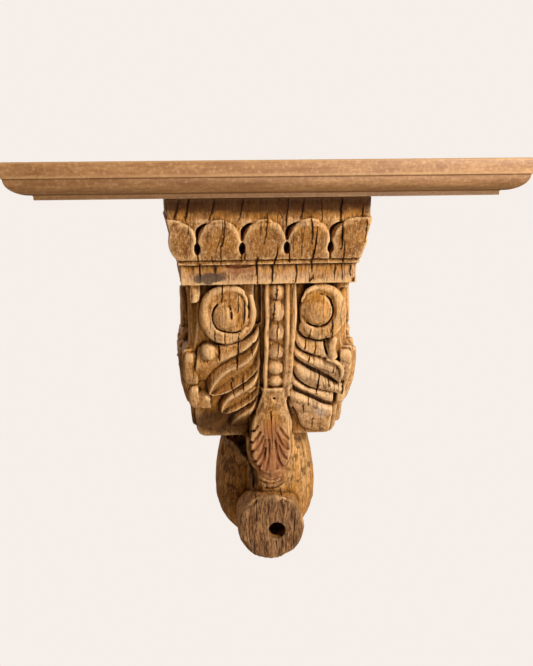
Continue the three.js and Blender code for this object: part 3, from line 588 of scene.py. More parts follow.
def combine(piece, tool, operation="DIFFERENCE", material_mode="INDEX", may_miss=False):
    """Cut a tool out of a piece, or join it on, and throw the tool away."""
    before = len(piece.data.polygons)
    apply_modifier(piece, "BOOLEAN", operation=operation, solver="MANIFOLD", object=tool,
                   material_mode=material_mode)
    if len(piece.data.polygons) == before and not may_miss:
        raise RuntimeError(f"{tool.name} left no mark on {piece.name}")
    only(tool)
    bpy.ops.object.delete()


def gathered(tools):
    """Several tools joined into one solid, so that the block itself is cut only once."""
    whole, *others = tools
    for other in others:
        combine(whole, other, "UNION")
    return whole


def triangles_of(piece):
    """Number of triangles of a piece's mesh."""
    return sum(len(p.vertices) - 2 for p in piece.data.polygons)


def ground(across, drop):
    """Reach of the panel's ground at a drop, in millimetres."""
    return float(np.interp(drop, GROUND_DROPS, GROUND_REACHES))


def petal_face(across, drop):
    """Reach of the petals' leaning face at a drop."""
    return float(np.interp(drop, PETAL_DROPS, PETAL_REACHES))


def surface_of(piece):
    """A function that gives the reach of a piece's front at a place, found by a ray from the front."""
    tree = BVHTree.FromObject(piece, bpy.context.evaluated_depsgraph_get())

    def reach(across, drop):
        hit = tree.ray_cast(place(across, drop, 300), Vector((0, 1, 0)))[0]
        return 0 if hit is None else -hit.y / MM
    return reach


def crest_of(piece):
    """The same, but for the highest of the places close by, so that a tool rides over narrow grooves."""
    reach = surface_of(piece)
    near = [(i, j) for i in (-1.2, 0, 1.2) for j in (-1.2, 0, 1.2)]
    return lambda across, drop: max(reach(across + i, drop + j) for i, j in near)


def place(across, drop, reach):
    """A point in the row frame from millimetres."""
    return Vector((across * MM, -reach * MM, CORBEL_TOP - drop * MM))


def flowing(points, step=1.5, count=None):
    """A smooth path through points, with a point every step millimetres or a count in each span."""
    bends = [np.array(p, float) for p in (points[0], *points, points[-1])]
    path = [bends[1]]
    for a, b, c, d in zip(bends, bends[1:], bends[2:], bends[3:]):
        steps = count or max(1, int(np.linalg.norm(c - b) / step))
        for i in range(1, steps + 1):
            t = i / steps
            path.append(0.5 * (2 * b + (c - a) * t + (2 * a - 5 * b + 4 * c - d) * t * t
                               + (3 * b - a - 3 * c + d) * t ** 3))
    return path


def drawn(name, paths):
    """One curve object with a straight-sided spline through each path of (row point, radius)."""
    bpy.ops.object.select_all(action="DESELECT")
    bpy.ops.object.add(type="CURVE")
    piece = bpy.context.object
    piece.name = name
    piece.data.dimensions = "3D"
    for path in paths:
        spline = piece.data.splines.new("POLY")
        spline.points.add(len(path) - 1)
        for point, (where, radius) in zip(spline.points, path):
            point.co = (*where, 1)
            point.radius = radius
    return piece


def bar(name, points, level, base, side, put=place):
    """A round bar along (across, drop, radius); its crown (side -1) or its bottom (side 1) is at a level."""
    path = [
        (put(a, d, base(a, d) + level + side * max(r, 0.3)), max(r, 0.3)) for a, d, r in flowing(points, 2)
    ]
    piece = drawn(name, [path])
    piece.data.bevel_depth = MM
    piece.data.bevel_resolution = 4
    piece.data.use_fill_caps = True
    bpy.ops.object.convert(target="MESH")
    return welded(bpy.context.object)


def blades(name, paths, width, depth):
    """Thin blades that stand on paths of (row point, share of the width) and reach in towards the wall."""
    drawn(name, paths)
    shares = [share for path in paths for _, share in path]
    bpy.ops.object.convert(target="MESH")
    piece = bpy.context.object
    group = piece.vertex_groups.new(name="width")
    for index, share in enumerate(shares):
        group.add([index], share, "REPLACE")
    bpy.ops.object.mode_set(mode="EDIT")
    bpy.ops.mesh.select_all(action="SELECT")
    bpy.ops.mesh.extrude_region_move(TRANSFORM_OT_translate={"value": (0, depth, 0)})
    bpy.ops.object.mode_set(mode="OBJECT")
    apply_modifier(piece, "SOLIDIFY", thickness=width, offset=0, use_rim=True, vertex_group="width",
                   thickness_vertex_group=0.1)
    return welded(piece)


def line_blade(name, points, width, depth, base, lift=1):
    """A blade for one parting-tool line, thin at both ends, that reaches a depth below the base."""
    way = flowing(points)
    last = len(way) - 1
    path = [
        (place(a, d, base(a, d) + lift), min(1, 0.3 + 4 * min(i, last - i) / last))
        for i, (a, d) in enumerate(way)
    ]
    return blades(name, [path], width * MM, (depth + lift) * MM)


def crack_path(points, reach, lift, chance, wander=0.35):
    """A crack's way down the front: it wanders a little and runs out thin at both ends."""
    path = flowing(points, 2.2)
    last = len(path) - 1
    made = []
    for i, (across, drop) in enumerate(path):
        drift = chance.uniform(-wander, wander) if 0 < i < last else 0
        share = min(1, 0.15 + 2.2 * min(i, last - i) / last) * chance.uniform(0.7, 1)
        made.append((place(across + drift, drop, reach(across, drop) + lift), share))
    return made


def drum(name, across, drop, half_width, half_height, base, proud, depth=16, rim=1.8):
    """A round drum with an eased rim that stands proud of a base and leans as it does."""
    lean = math.atan2(base(across, drop - 5) - base(across, drop + 5), 10)
    bpy.ops.object.select_all(action="DESELECT")
    bpy.ops.mesh.primitive_cylinder_add(vertices=64, radius=1, depth=1)
    piece = bpy.context.object
    piece.name = name
    piece.scale = (half_width * MM, half_height * MM, depth * MM)
    piece.rotation_euler = (math.pi / 2 + lean, 0, 0)
    piece.location = place(across, drop, base(across, drop) + proud - depth / 2)
    bpy.ops.object.transform_apply(location=True, rotation=True, scale=True)
    apply_modifier(piece, "BEVEL", width=rim * MM, segments=3, limit_method="ANGLE", angle_limit=0.8)
    return piece


def bead(name, across, drop, half_width, half_height, base, proud, depth, squareness=0.12):
    """A flattened bead that stands proud of a base."""
    bpy.ops.object.select_all(action="DESELECT")
    bpy.ops.mesh.primitive_uv_sphere_add(segments=32, ring_count=16, radius=1)
    piece = bpy.context.object
    piece.name = name
    piece.scale = (half_width * MM, depth * MM, half_height * MM)
    piece.location = place(across, drop, base(across, drop) + proud - depth)
    apply_modifier(piece, "CAST", cast_type="CUBOID", factor=squareness)
    bpy.ops.object.transform_apply(location=True, rotation=True, scale=True)
    return piece


def slab(name, left, right, outline):
    """A bar across the block whose section is an outline of (reach, drop)."""
    bpy.ops.object.select_all(action="DESELECT")
    bpy.ops.mesh.primitive_circle_add(vertices=len(outline), fill_type="NGON")
    piece = bpy.context.object
    piece.name = name
    for point, (reach, drop) in zip(piece.data.vertices, outline):
        point.co = place(left, drop, reach)
    bpy.ops.object.mode_set(mode="EDIT")
    bpy.ops.mesh.select_all(action="SELECT")
    bpy.ops.mesh.extrude_region_move(TRANSFORM_OT_translate={"value": ((right - left) * MM, 0, 0)})
    bpy.ops.object.mode_set(mode="OBJECT")
    return welded(piece)


def lofted(name, runs, depth):
    """A skin through runs of (across, drop, reach), smooth both ways and as thick as a depth."""
    sections = [flowing(points, count=4) for points in zip(*(flowing(run, count=5) for run in runs))]
    bpy.ops.object.select_all(action="DESELECT")
    bpy.ops.mesh.primitive_grid_add(x_subdivisions=len(sections[0]) - 1, y_subdivisions=len(sections) - 1)
    piece = bpy.context.object
    piece.name = name
    for point, where in zip(piece.data.vertices, (p for section in sections for p in section)):
        point.co = place(*where)
    bpy.ops.object.mode_set(mode="EDIT")
    bpy.ops.mesh.select_all(action="SELECT")
    bpy.ops.mesh.extrude_region_move(TRANSFORM_OT_translate={"value": (0, depth * MM, 0)})
    bpy.ops.object.mode_set(mode="OBJECT")
    return welded(piece)


def leaf(name, stem, edges, base):
    """A leaf over a base through edges of (height, [(across, drop) from stem to tip]), lower at its stem."""
    def grown(height, run):
        shares = [min(1, stem + 4 * (1 - stem) * i / (len(run) - 1)) for i in range(len(run))]
        return [(a, d, base(a, d) + height * share) for (a, d), share in zip(run, shares)]

    return lofted(name, [grown(height, run) for height, run in edges], LEAF_DEPTH)


def bridge(across, drop):
    """Reach of the smooth run of the wedge into the palmette."""
    return float(np.interp(drop, BRIDGE_DROPS, BRIDGE_REACHES))


def clearing(name, left, right, top, bottom):
    """What is cut away in front of the panel's ground."""
    drops = [top, *(d for d in GROUND_DROPS if top < d < bottom), bottom]
    return slab(name, left, right, [(ground(0, d), d) for d in drops] + [(170, bottom), (170, top)])


def carve_petals(piece):
    """Petals that touch each other, with drilled holes and dark pockets between them."""
    foot = PETAL_DROPS[-1]
    combine(piece, slab("scalloped_edge", -69, 67.5, [
        (138, 9), (147, 9), (petal_face(0, 15.5) - 1.8, 15.5), (petal_face(0, 30) - 1.8, 30), (130, 30),
    ]), "UNION")
    combine(piece, slab("petal_foot", -65.5, 64.5, [
        (125, 29), (petal_face(0, 29) + 0.5, 29), (petal_face(0, foot) + 0.5, foot), (125, foot),
    ]), "UNION")
    for middle, half in PETALS:
        combine(piece, drum("petal", middle, 28.6, half, 13.8, petal_face, 0.5, 12, 0.6), "UNION")
    drop, half_width, half_height = HOLE
    for gap in GAPS:
        combine(piece, drum("drilled_hole", gap, drop, half_width, half_height, petal_face, 3, 14, 0.3))
        for outline, depth in ((POCKET, 9), (EYELID, 1.6)):
            path = [
                (place(gap + a, d, petal_face(0, d) + 2), w / 4) for a, d, w in flowing(outline, 1)
            ]
            combine(piece, blades("pocket", [path], 4 * MM, (depth + 2) * MM))


def carve_panel(piece):
    """Scrolls, leaves, beads and rails on the sunk panel."""
    combine(piece, clearing("left_clearing", -53, -13.5, 61.3, 186))
    combine(piece, clearing("right_clearing", 19.5, 54, 61.3, 186))
    combine(piece, clearing("middle_clearing", -13.5, 19.5, 61.3, 144))
    combine(piece, drum("left_drum", -32.4, 83.8, 17.6, 21, ground, 7.8), "UNION")
    combine(piece, drum("right_drum", 39.2, 82.9, 16.6, 21, ground, 7.8), "UNION")
    combine(piece, slab("rail_bed", -1, 18.5, [
        (70, 61), *((ground(0, d) + 6.2, d) for d in (61, 85, 105, 125, 145)), (70, 145),
    ]), "UNION")
    for stem, edges in LEAVES:
        combine(piece, leaf("leaf", stem, edges, ground), "UNION")
    combine(piece, leaf("wedge_run", *BRIDGE, bridge), "UNION")
    for level, points in ROLLS:
        combine(piece, bar("roll", points, level, ground, -1), "UNION")
    for across, drop, half_width, half_height, proud, depth in DOMES:
        dome = bead("dome", across, drop, half_width, half_height, ground, proud, depth, 0.02)
        combine(piece, dome, "UNION")
    for top, bottom in zip(BEAD_ENDS, BEAD_ENDS[1:]):
        half = (bottom - top) / 2
        ball = bead("bead", BEAD_MIDDLE, top + half, BEAD_HALF, half + 0.5, ground, 9.4, 7.5)
        combine(piece, ball, "UNION")
    for level, points in HOLLOWS:
        combine(piece, bar("hollow", points, level, ground, 1))
    for width, depth, points in LINES:
        face = crest_of(piece)
        if width >= SHOULDERED:
            radii = [0.4, *(1.1 * width for _ in points[2:]), 0.4]
            path = [(a, d, radius) for (a, d), radius in zip(points, radii)]
            combine(piece, bar("gouge", path, -0.45 * width, face, 1), may_miss=True)
        combine(piece, line_blade("line", points, max(1.1, 0.65 * width), depth, face))


def carve_foot(piece):
    """Skin of the neck, the palmette's flutes, creases, nail holes and chips off the stub."""
    combine(piece, lofted("neck", NECK, NECK_DEPTH), "UNION")
    face = surface_of(piece)
    for points in FLUTES:
        run = flowing(points, 2)
        widened = [(a, d, 0.95 + 0.4 * i / (len(run) - 1)) for i, (a, d) in enumerate(run)]
        combine(piece, bar("flute", widened, -1.7, face, 1))
    for depth, points in CREASES:
        combine(piece, bar("crease", points, -depth, face, 1))
    for drop in SIDE_NAILS:
        combine(piece, bar("nail_hole", [(-78, drop, 1.3), (-57, drop, 1.3)], 110, lambda a, d: 0, 0))
    combine(piece, drum("nail_hole", *WEDGE_NAIL, 1.3, 1.5, face, 2, 8, 0.2))
    across, drop, radius = STUB_RIM
    for start, end, size in CHIPS:
        turns = [math.radians(start + (end - start) * i / 4) for i in range(5)]
        rim = [
            (across + (radius - 0.3) * math.cos(t), drop - (radius - 0.3) * math.sin(t), size * share)
            for t, share in zip(turns, (0.3, 0.8, 1, 0.7, 0.3))
        ]
        combine(piece, bar("chip", rim, -0.2, lambda a, d: STUB_REACH, 0))


def carve_sides(piece):
    """A plainer fan of leaves and a ribbed leaf on each side."""
    def flank(depth, drop):
        half = float(np.interp(drop, SIDE_DROPS, SIDE_HALVES))
        return half * (1 + SIDE_SPLAY * (1 - depth / SIDE_REACH))

    below, valley_radius = SIDE_VALLEY
    left_over, sweep = SIDE_CLEARING
    rows = [[(4, drop, sweep), (100, drop, sweep)] for drop in range(118, 180, 4)]
    valleys = [
        [((a + c) / 2, (b + d) / 2, valley_radius) for (a, b, _), (c, d, _) in zip(one, other)][1:]
        for one, other in zip(SIDE_FAN, SIDE_FAN[1:])
    ]
    for hand, proud in SIDE_PROUD.items():
        def put(depth, drop, out):
            return Vector((hand * out * MM, -depth * MM, CORBEL_TOP - drop * MM))

        for name, runs, level, side in (
            ("side_clearing", rows, left_over, 1),
            ("side_leaf", SIDE_FAN, proud, -1),
            ("side_valley", valleys, proud - below, 1),
            ("side_rib", SIDE_RIBS, SIDE_RIB_HEIGHT, -1),
        ):
            tool = gathered([bar(name, points, level, flank, side, put) for points in runs])
            combine(piece, tool, "DIFFERENCE" if side > 0 else "UNION")


def crack_blades(settings, face):
    """The drying cracks, one mesh of blades for each width."""
    chance = random.Random(7)
    lift = 1.5
    depth = settings.crack_depth + lift * MM
    kinds = (
        ("wide_cracks", WIDE_CRACKS, 1, 1),
        ("middle_cracks", MIDDLE_CRACKS, 0.62, 0.8),
        ("fine_cracks", FINE_CRACKS, 0.45, 0.6),
    )
    made = []
    for name, cracks, width, deep in kinds:
        paths = [crack_path(points, face, lift, chance) for points in cracks]
        made.append(blades(name, paths, width * settings.wide_crack, deep * depth))
    return made


def weathered(piece, name, scale, stretch, strength, detail):
    """Push a surface in and out by a cloud pattern that is drawn out along the fibres."""
    clouds = bpy.data.textures.new(name, "CLOUDS")
    clouds.noise_scale = 1
    clouds.noise_depth = detail
    clouds.contrast = 1.4
    bpy.ops.object.select_all(action="DESELECT")
    bpy.ops.object.empty_add()
    guide = bpy.context.object
    guide.scale = [scale * s for s in stretch]
    bpy.context.view_layer.update()
    apply_modifier(piece, "DISPLACE", texture=clouds, texture_coords="OBJECT", texture_coords_object=guide,
                   strength=strength, mid_level=0.5)
    only(guide)
    bpy.ops.object.delete()
    bpy.data.textures.remove(clouds)


def relief_attribute(piece, name, rounds, full):
    """Store how far each point stands above (or below) the smoothed surface, 0.5 being level with it."""
    mesh = piece.data
    count = len(mesh.vertices)
    here, level, normal = (np.empty(count * 3, np.float32) for _ in range(3))
    mesh.vertices.foreach_get("co", here)
    mesh.vertices.foreach_get("normal", normal)
    only(piece)
    bpy.ops.object.modifier_add(type="SMOOTH")
    modifier = piece.modifiers[-1]
    modifier.factor = 0.9
    modifier.iterations = rounds
    evaluated = piece.evaluated_get(bpy.context.evaluated_depsgraph_get())
    evaluated.data.vertices.foreach_get("co", level)
    bpy.ops.object.modifier_remove(modifier=modifier.name)
    height = ((here - level) * normal).reshape(-1, 3).sum(1)
    value = np.clip(0.5 + 0.5 * height / (full * MM), 0, 1)
    mesh.attributes.new(name, "FLOAT", "POINT").data.foreach_set("value", value.astype(np.float32))


def add(tree, kind, settings=None):
    """Add a node; lower-case keys are its own settings, the others its sockets, set or linked."""
    made = tree.nodes.new(kind)
    for key, value in (settings or {}).items():
        if key == "stops":
            ramp = made.color_ramp.elements
            while len(ramp) < len(value):
                ramp.new(1)
            for element, (position, tone) in zip(ramp, value):
                element.position = position
                element.color = (*tone, 1)
        elif isinstance(key, str) and key[0].islower():
            setattr(made, key, value)
        elif isinstance(value, bpy.types.NodeSocket):
            tree.links.new(value, made.inputs[key])
        elif made.inputs[key].type == "RGBA" and len(value) == 3:
            made.inputs[key].default_value = (*value, 1)
        else:
            made.inputs[key].default_value = value
    return made


def new_material(name):
    """A material with an empty node tree that holds only its shader and output."""
    material = bpy.data.materials.new(name)
    material.use_nodes = True
    tree = material.node_tree
    tree.nodes.clear()
    shader = add(tree, "ShaderNodeBsdfPrincipled")
    add(tree, "ShaderNodeOutputMaterial", {"Surface": shader.outputs["BSDF"]})
    return material, tree, shader


def patch(tree, coords, centre, radii, soft, share):
    """A round patch about a place, as a share that fades out over its soft edge."""
    size = [1 / (r * MM) for r in radii]
    mapping = add(tree, "ShaderNodeMapping", {
        "Vector": coords, "Location": [-m * s for m, s in zip(place(*centre), size)], "Scale": size,
    })
    ball = add(tree, "ShaderNodeTexGradient", {"gradient_type": "SPHERICAL", "Vector": mapping.outputs[0]})
    return add(tree, "ShaderNodeMapRange", {
        "Value": ball.outputs["Fac"], "From Max": soft, "To Max": share,
    }).outputs[0]


def layered(tree, tone, layers):
    """Lay colours over a tone, each where its source runs from one value to another, up to a share."""
    for source, start, end, share, wood in layers:
        mask = add(tree, "ShaderNodeMapRange", {
            "Value": source, "From Min": start, "From Max": end, "To Max": share,
        })
        tone = add(tree, "ShaderNodeMix", {
            "data_type": "RGBA", 0: mask.outputs[0], 6: tone, 7: wood,
        }).outputs[2]
    return tone


def spotted(tree, tone, coords, spots):
    """Lay patches of their own colour over a tone."""
    for *where, tint in spots:
        share = patch(tree, coords, *where)
        tone = add(tree, "ShaderNodeMix", {"data_type": "RGBA", 0: share, 6: tone, 7: tint}).outputs[2]
    return tone


def aged_teak(settings):
    """Old teak, carved by hand and weathered: open upright fibres, dirt and painted shade in the hollows,
    rubbed edges with painted highlights.
    """
    material, tree, shader = new_material("aged_teak")
    coords = add(tree, "ShaderNodeTexCoord").outputs["Object"]
    sway = add(tree, "ShaderNodeTexNoise", {"Vector": coords, "Scale": 1 / (40 * MM), "Detail": 2.0})
    centred = add(tree, "ShaderNodeVectorMath", {
        "operation": "SUBTRACT", 0: sway.outputs["Color"], 1: (0.5, 0.5, 0.5),
    })
    warped = add(tree, "ShaderNodeVectorMath", {
        "operation": "MULTIPLY_ADD", 0: centred.outputs[0], 1: (0.008, 0.008, 0.008), 2: coords,
    }).outputs[0]

    # Fibres run upright, so each pattern is drawn out along Z
    long_grain = add(tree, "ShaderNodeMapping", {"Vector": warped, "Scale": (1, 1, 0.18)}).outputs[0]
    streaks = add(tree, "ShaderNodeTexNoise", {
        "Vector": long_grain, "Scale": 1 / (5 * MM), "Detail": 6.0, "Roughness": 0.7,
    }).outputs["Fac"]
    # Teak's pores are about 0.3 mm across; 1 mm is as fine as the picture can show
    fibres = add(tree, "ShaderNodeTexNoise", {
        "Vector": long_grain, "Scale": 1 / (1.3 * MM), "Detail": 4.0, "Roughness": 0.75,
    }).outputs["Fac"]
    pits = add(tree, "ShaderNodeTexNoise", {
        "Vector": coords, "Scale": 1 / (2 * MM), "Detail": 4.0, "Roughness": 0.75,
    }).outputs["Fac"]
    patches = add(tree, "ShaderNodeTexNoise", {
        "Vector": warped, "Scale": 1 / (24 * MM), "Detail": 6.0, "Roughness": 0.6,
    }).outputs["Fac"]
    # Growth rings about 6 mm apart round a pith behind the wall, which show as arches on the swelling foot
    pith = add(tree, "ShaderNodeMapping", {
        "Vector": warped, "Location": (-0.02, -0.05, 0), "Rotation": (0.12, 0.06, 0),
    })
    rings = add(tree, "ShaderNodeTexWave", {
        "wave_type": "RINGS", "rings_direction": "Z", "Vector": pith.outputs[0],
        "Scale": math.tau / (20 * 6 * MM), "Distortion": 5.0, "Detail": 3.0, "Detail Scale": 0.6,
    }).outputs["Fac"]
    hollow = add(tree, "ShaderNodeAttribute", {"attribute_name": "hollow"}).outputs["Fac"]
    edge = add(tree, "ShaderNodeAttribute", {"attribute_name": "edge"}).outputs["Fac"]

    # Hairline checks: thin broken lines where a drawn-out pattern crosses its middle value
    drawn_out = add(tree, "ShaderNodeMapping", {
        "Vector": warped, "Scale": (1, 0.15, 0.03), "Location": (3.1, 1.7, 0.4),
    })
    veins = add(tree, "ShaderNodeTexNoise", {
        "Vector": drawn_out.outputs[0], "Scale": 1 / (8 * MM), "Detail": 1.0,
    })
    off_middle = add(tree, "ShaderNodeMath", {"operation": "SUBTRACT", 0: veins.outputs["Fac"], 1: 0.5})
    apart = add(tree, "ShaderNodeMath", {"operation": "ABSOLUTE", 0: off_middle.outputs[0]})
    thin = add(tree, "ShaderNodeMapRange", {
        "Value": apart.outputs[0], "From Min": 0.004, "From Max": 0.011, "To Min": 1.0, "To Max": 0.0,
    })
    broken = add(tree, "ShaderNodeMapRange", {"Value": patches, "From Min": 0.44, "From Max": 0.52})
    check = add(tree, "ShaderNodeMath", {
        "operation": "MULTIPLY", 0: thin.outputs[0], 1: broken.outputs[0],
    }).outputs[0]

    tone = add(tree, "ShaderNodeValToRGB", {"Fac": streaks, "stops": [
        (0.3, settings.dark_wood), (0.5, settings.middle_wood), (0.72, settings.light_wood),
    ]}).outputs["Color"]
    # Wood that is browner or paler in itself: petals, band and beads; the right leaves and right cheek are
    # painted paler as painted light where the key light falls
    tone = spotted(tree, tone, coords, (
        ((0, 30, 146), (140, 60, 22), 0.4, 0.5, linear("#6e4522")),
        ((0, 53.5, 139), (140, 40, 8), 0.4, 0.65, linear("#cda47e")),
        ((5.5, 100, 125), (10, 40, 48), 0.4, 0.5, linear("#d2a981")),
        # Painted light: the right leaves and right cheek painted paler where the key light falls
        ((42, 146, 105), (40, 60, 50), 0.5, 0.65, linear("#deb88c")),
        ((27, 216, 76), (20, 60, 34), 0.5, 0.6, linear("#dcab6c")),
    ))

    # Weathered patches, rings, pores, pits, checks, patina in the hollows, dirt with painted shade in the
    # hollows, near-black painted shade at their bottoms, worn crests and rubbed edges with painted
    # highlights, and dirt with painted shade in narrow creases
    tone = layered(tree, tone, (
        (patches, 0.52, 0.62, 0.5, settings.ochre),
        (patches, 0.5, 0.36, 0.6, settings.dark_wood),
        (rings, 0.6, 1, 0.4, settings.dark_wood),
        (fibres, 0.47, 0.36, 0.45, settings.rubbed_and_highlit),
        (fibres, 0.52, 0.62, 0.6, settings.dark_wood),
        (fibres, 0.6, 0.7, 0.65, settings.dirt_and_shade),
        (pits, 0.54, 0.66, 0.7, settings.dark_wood),
        (pits, 0.45, 0.32, 0.5, settings.rubbed_and_highlit),
        (check, 0, 1, 0.75, settings.dirt_and_shade),
        (hollow, 0.54, 0.4, 0.55, settings.ochre),
        # Painted shade: the hollows darkened with the dirt colour, their bottoms near black
        (hollow, 0.44, 0.06, 0.8, settings.dirt_and_shade),
        (hollow, 0.12, 0.01, 0.85, settings.deep_shade),
        # Painted highlight on crests and edges, and painted shade in narrow creases, along with their wear
        # and dirt
        (hollow, 0.58, 0.95, 0.55, settings.rubbed_and_highlit),
        (edge, 0.6, 0.95, 0.5, settings.rubbed_and_highlit),
        (edge, 0.42, 0.1, 0.85, settings.dirt_and_shade),
    ))

    # Dark blotches and waves on the swelling foot
    swirl = add(tree, "ShaderNodeTexNoise", {
        "Vector": warped, "Scale": 1 / (11 * MM), "Detail": 4.0, "Distortion": 1.6,
    }).outputs["Fac"]
    blotch = add(tree, "ShaderNodeMapRange", {"Value": swirl, "From Min": 0.5, "From Max": 0.6})
    foot = patch(tree, coords, (0, 222, 60), (60, 90, 46), 0.4, 0.65)
    blotched = add(tree, "ShaderNodeMath", {"operation": "MULTIPLY", 0: blotch.outputs[0], 1: foot})
    tone = add(tree, "ShaderNodeMix", {
        "data_type": "RGBA", 0: blotched.outputs[0], 6: tone, 7: settings.dirt_and_shade,
    }).outputs[2]

    # Patches with ragged edges: dark top course (a stain with the shelf's shadow painted in), red palmette,
    # the stub's end, two stains on the band, a grey rub, painted shadow on the low left block, and painted
    # shade in the cavity and crease beside the neck and in the peg hole
    tatter = add(tree, "ShaderNodeTexNoise", {"Vector": coords, "Scale": 1 / (7 * MM), "Detail": 3.0})
    ragged = add(tree, "ShaderNodeVectorMath", {
        "operation": "MULTIPLY_ADD", 0: tatter.outputs["Color"], 1: (0.009, 0.009, 0.009), 2: coords,
    })
    torn = add(tree, "ShaderNodeVectorMath", {
        "operation": "SUBTRACT", 0: ragged.outputs[0], 1: (0.0045, 0.0045, 0.0045),
    }).outputs[0]
    stub_grain = add(tree, "ShaderNodeValToRGB", {"Fac": fibres, "stops": [
        (0.38, linear("#99704a")), (0.5, linear("#684529")), (0.62, linear("#2b170a")),
    ]}).outputs["Color"]
    tone = spotted(tree, tone, torn, (
        # Painted shadow of the shelf over the top course, on a dark stain
        ((0, 0, 145), (140, 70, 14), 0.35, 0.88, linear("#402008")),
        ((2.4, 196, 106), (20, 24, 30), 0.5, 0.75, linear("#885030")),
        ((0.9, 254, 122), (38, 8, 38), 0.3, 0.9, stub_grain),
        ((-43, 55.6, 138), (13, 8, 4.2), 0.25, 0.85, linear("#46362b")),
        ((-21, 49, 138), (13, 8, 5), 0.3, 0.75, linear("#8a512c")),
        ((42, 167, 96), (7, 14, 7), 0.8, 0.4, linear("#c9bcae")),
        # Painted shadow on the low left block, which the leaves shade from the key light
        ((-37, 176, 90), (34, 30, 17), 0.5, 0.85, linear("#3c2109")),
        # Painted shade in the cavity left of the palmette and in the crease beside the neck
        ((-19, 199, 80), (9, 26, 11), 0.5, 0.9, linear("#241204")),
        ((-11, 220, 90), (4.5, 30, 16), 0.6, 0.7, linear("#2e1a0d")),
        # Painted shade in the peg hole
        ((5.3, 255.7, 106), (9, 13, 9), 0.3, 0.95, settings.deep_shade),
    ))

    tree.links.new(tone, shader.inputs["Base Color"])
    rough = add(tree, "ShaderNodeMapRange", {
        "Value": patches, "From Min": 0.3, "From Max": 0.7, "To Min": 0.62, "To Max": 0.86,
    })
    tree.links.new(rough.outputs[0], shader.inputs["Roughness"])
    grit = add(tree, "ShaderNodeMath", {"operation": "MULTIPLY_ADD", 0: pits, 1: -0.8, 2: fibres}).outputs[0]
    height = add(tree, "ShaderNodeMath", {"operation": "MULTIPLY_ADD", 0: check, 1: -1.2, 2: grit})
    bump = add(tree, "ShaderNodeBump", {"Height": height.outputs[0], "Strength": 0.9, "Distance": 1.1 * MM})
    tree.links.new(bump.outputs["Normal"], shader.inputs["Normal"])
    shader.inputs["IOR"].default_value = 1.45
    # Dry weathered wood gives back little gloss
    shader.inputs["Specular IOR Level"].default_value = 0.2
    return material


def painted_crack_shade():
    """Painted shade inside a drying crack: teak painted near black, dry and rough."""
    material, tree, shader = new_material("painted_crack_shade")
    coords = add(tree, "ShaderNodeTexCoord").outputs["Object"]
    long_grain = add(tree, "ShaderNodeMapping", {"Vector": coords, "Scale": (1, 1, 0.08)}).outputs[0]
    fibres = add(tree, "ShaderNodeTexNoise", {"Vector": long_grain, "Scale": 1 / (2 * MM), "Detail": 3.0})
    tone = add(tree, "ShaderNodeValToRGB", {
        "Fac": fibres.outputs["Fac"], "stops": [(0.35, linear("#1c0d04")), (0.7, linear("#442510"))],
    })
    tree.links.new(tone.outputs["Color"], shader.inputs["Base Color"])
    shader.inputs["Roughness"].default_value = 0.9
    return material


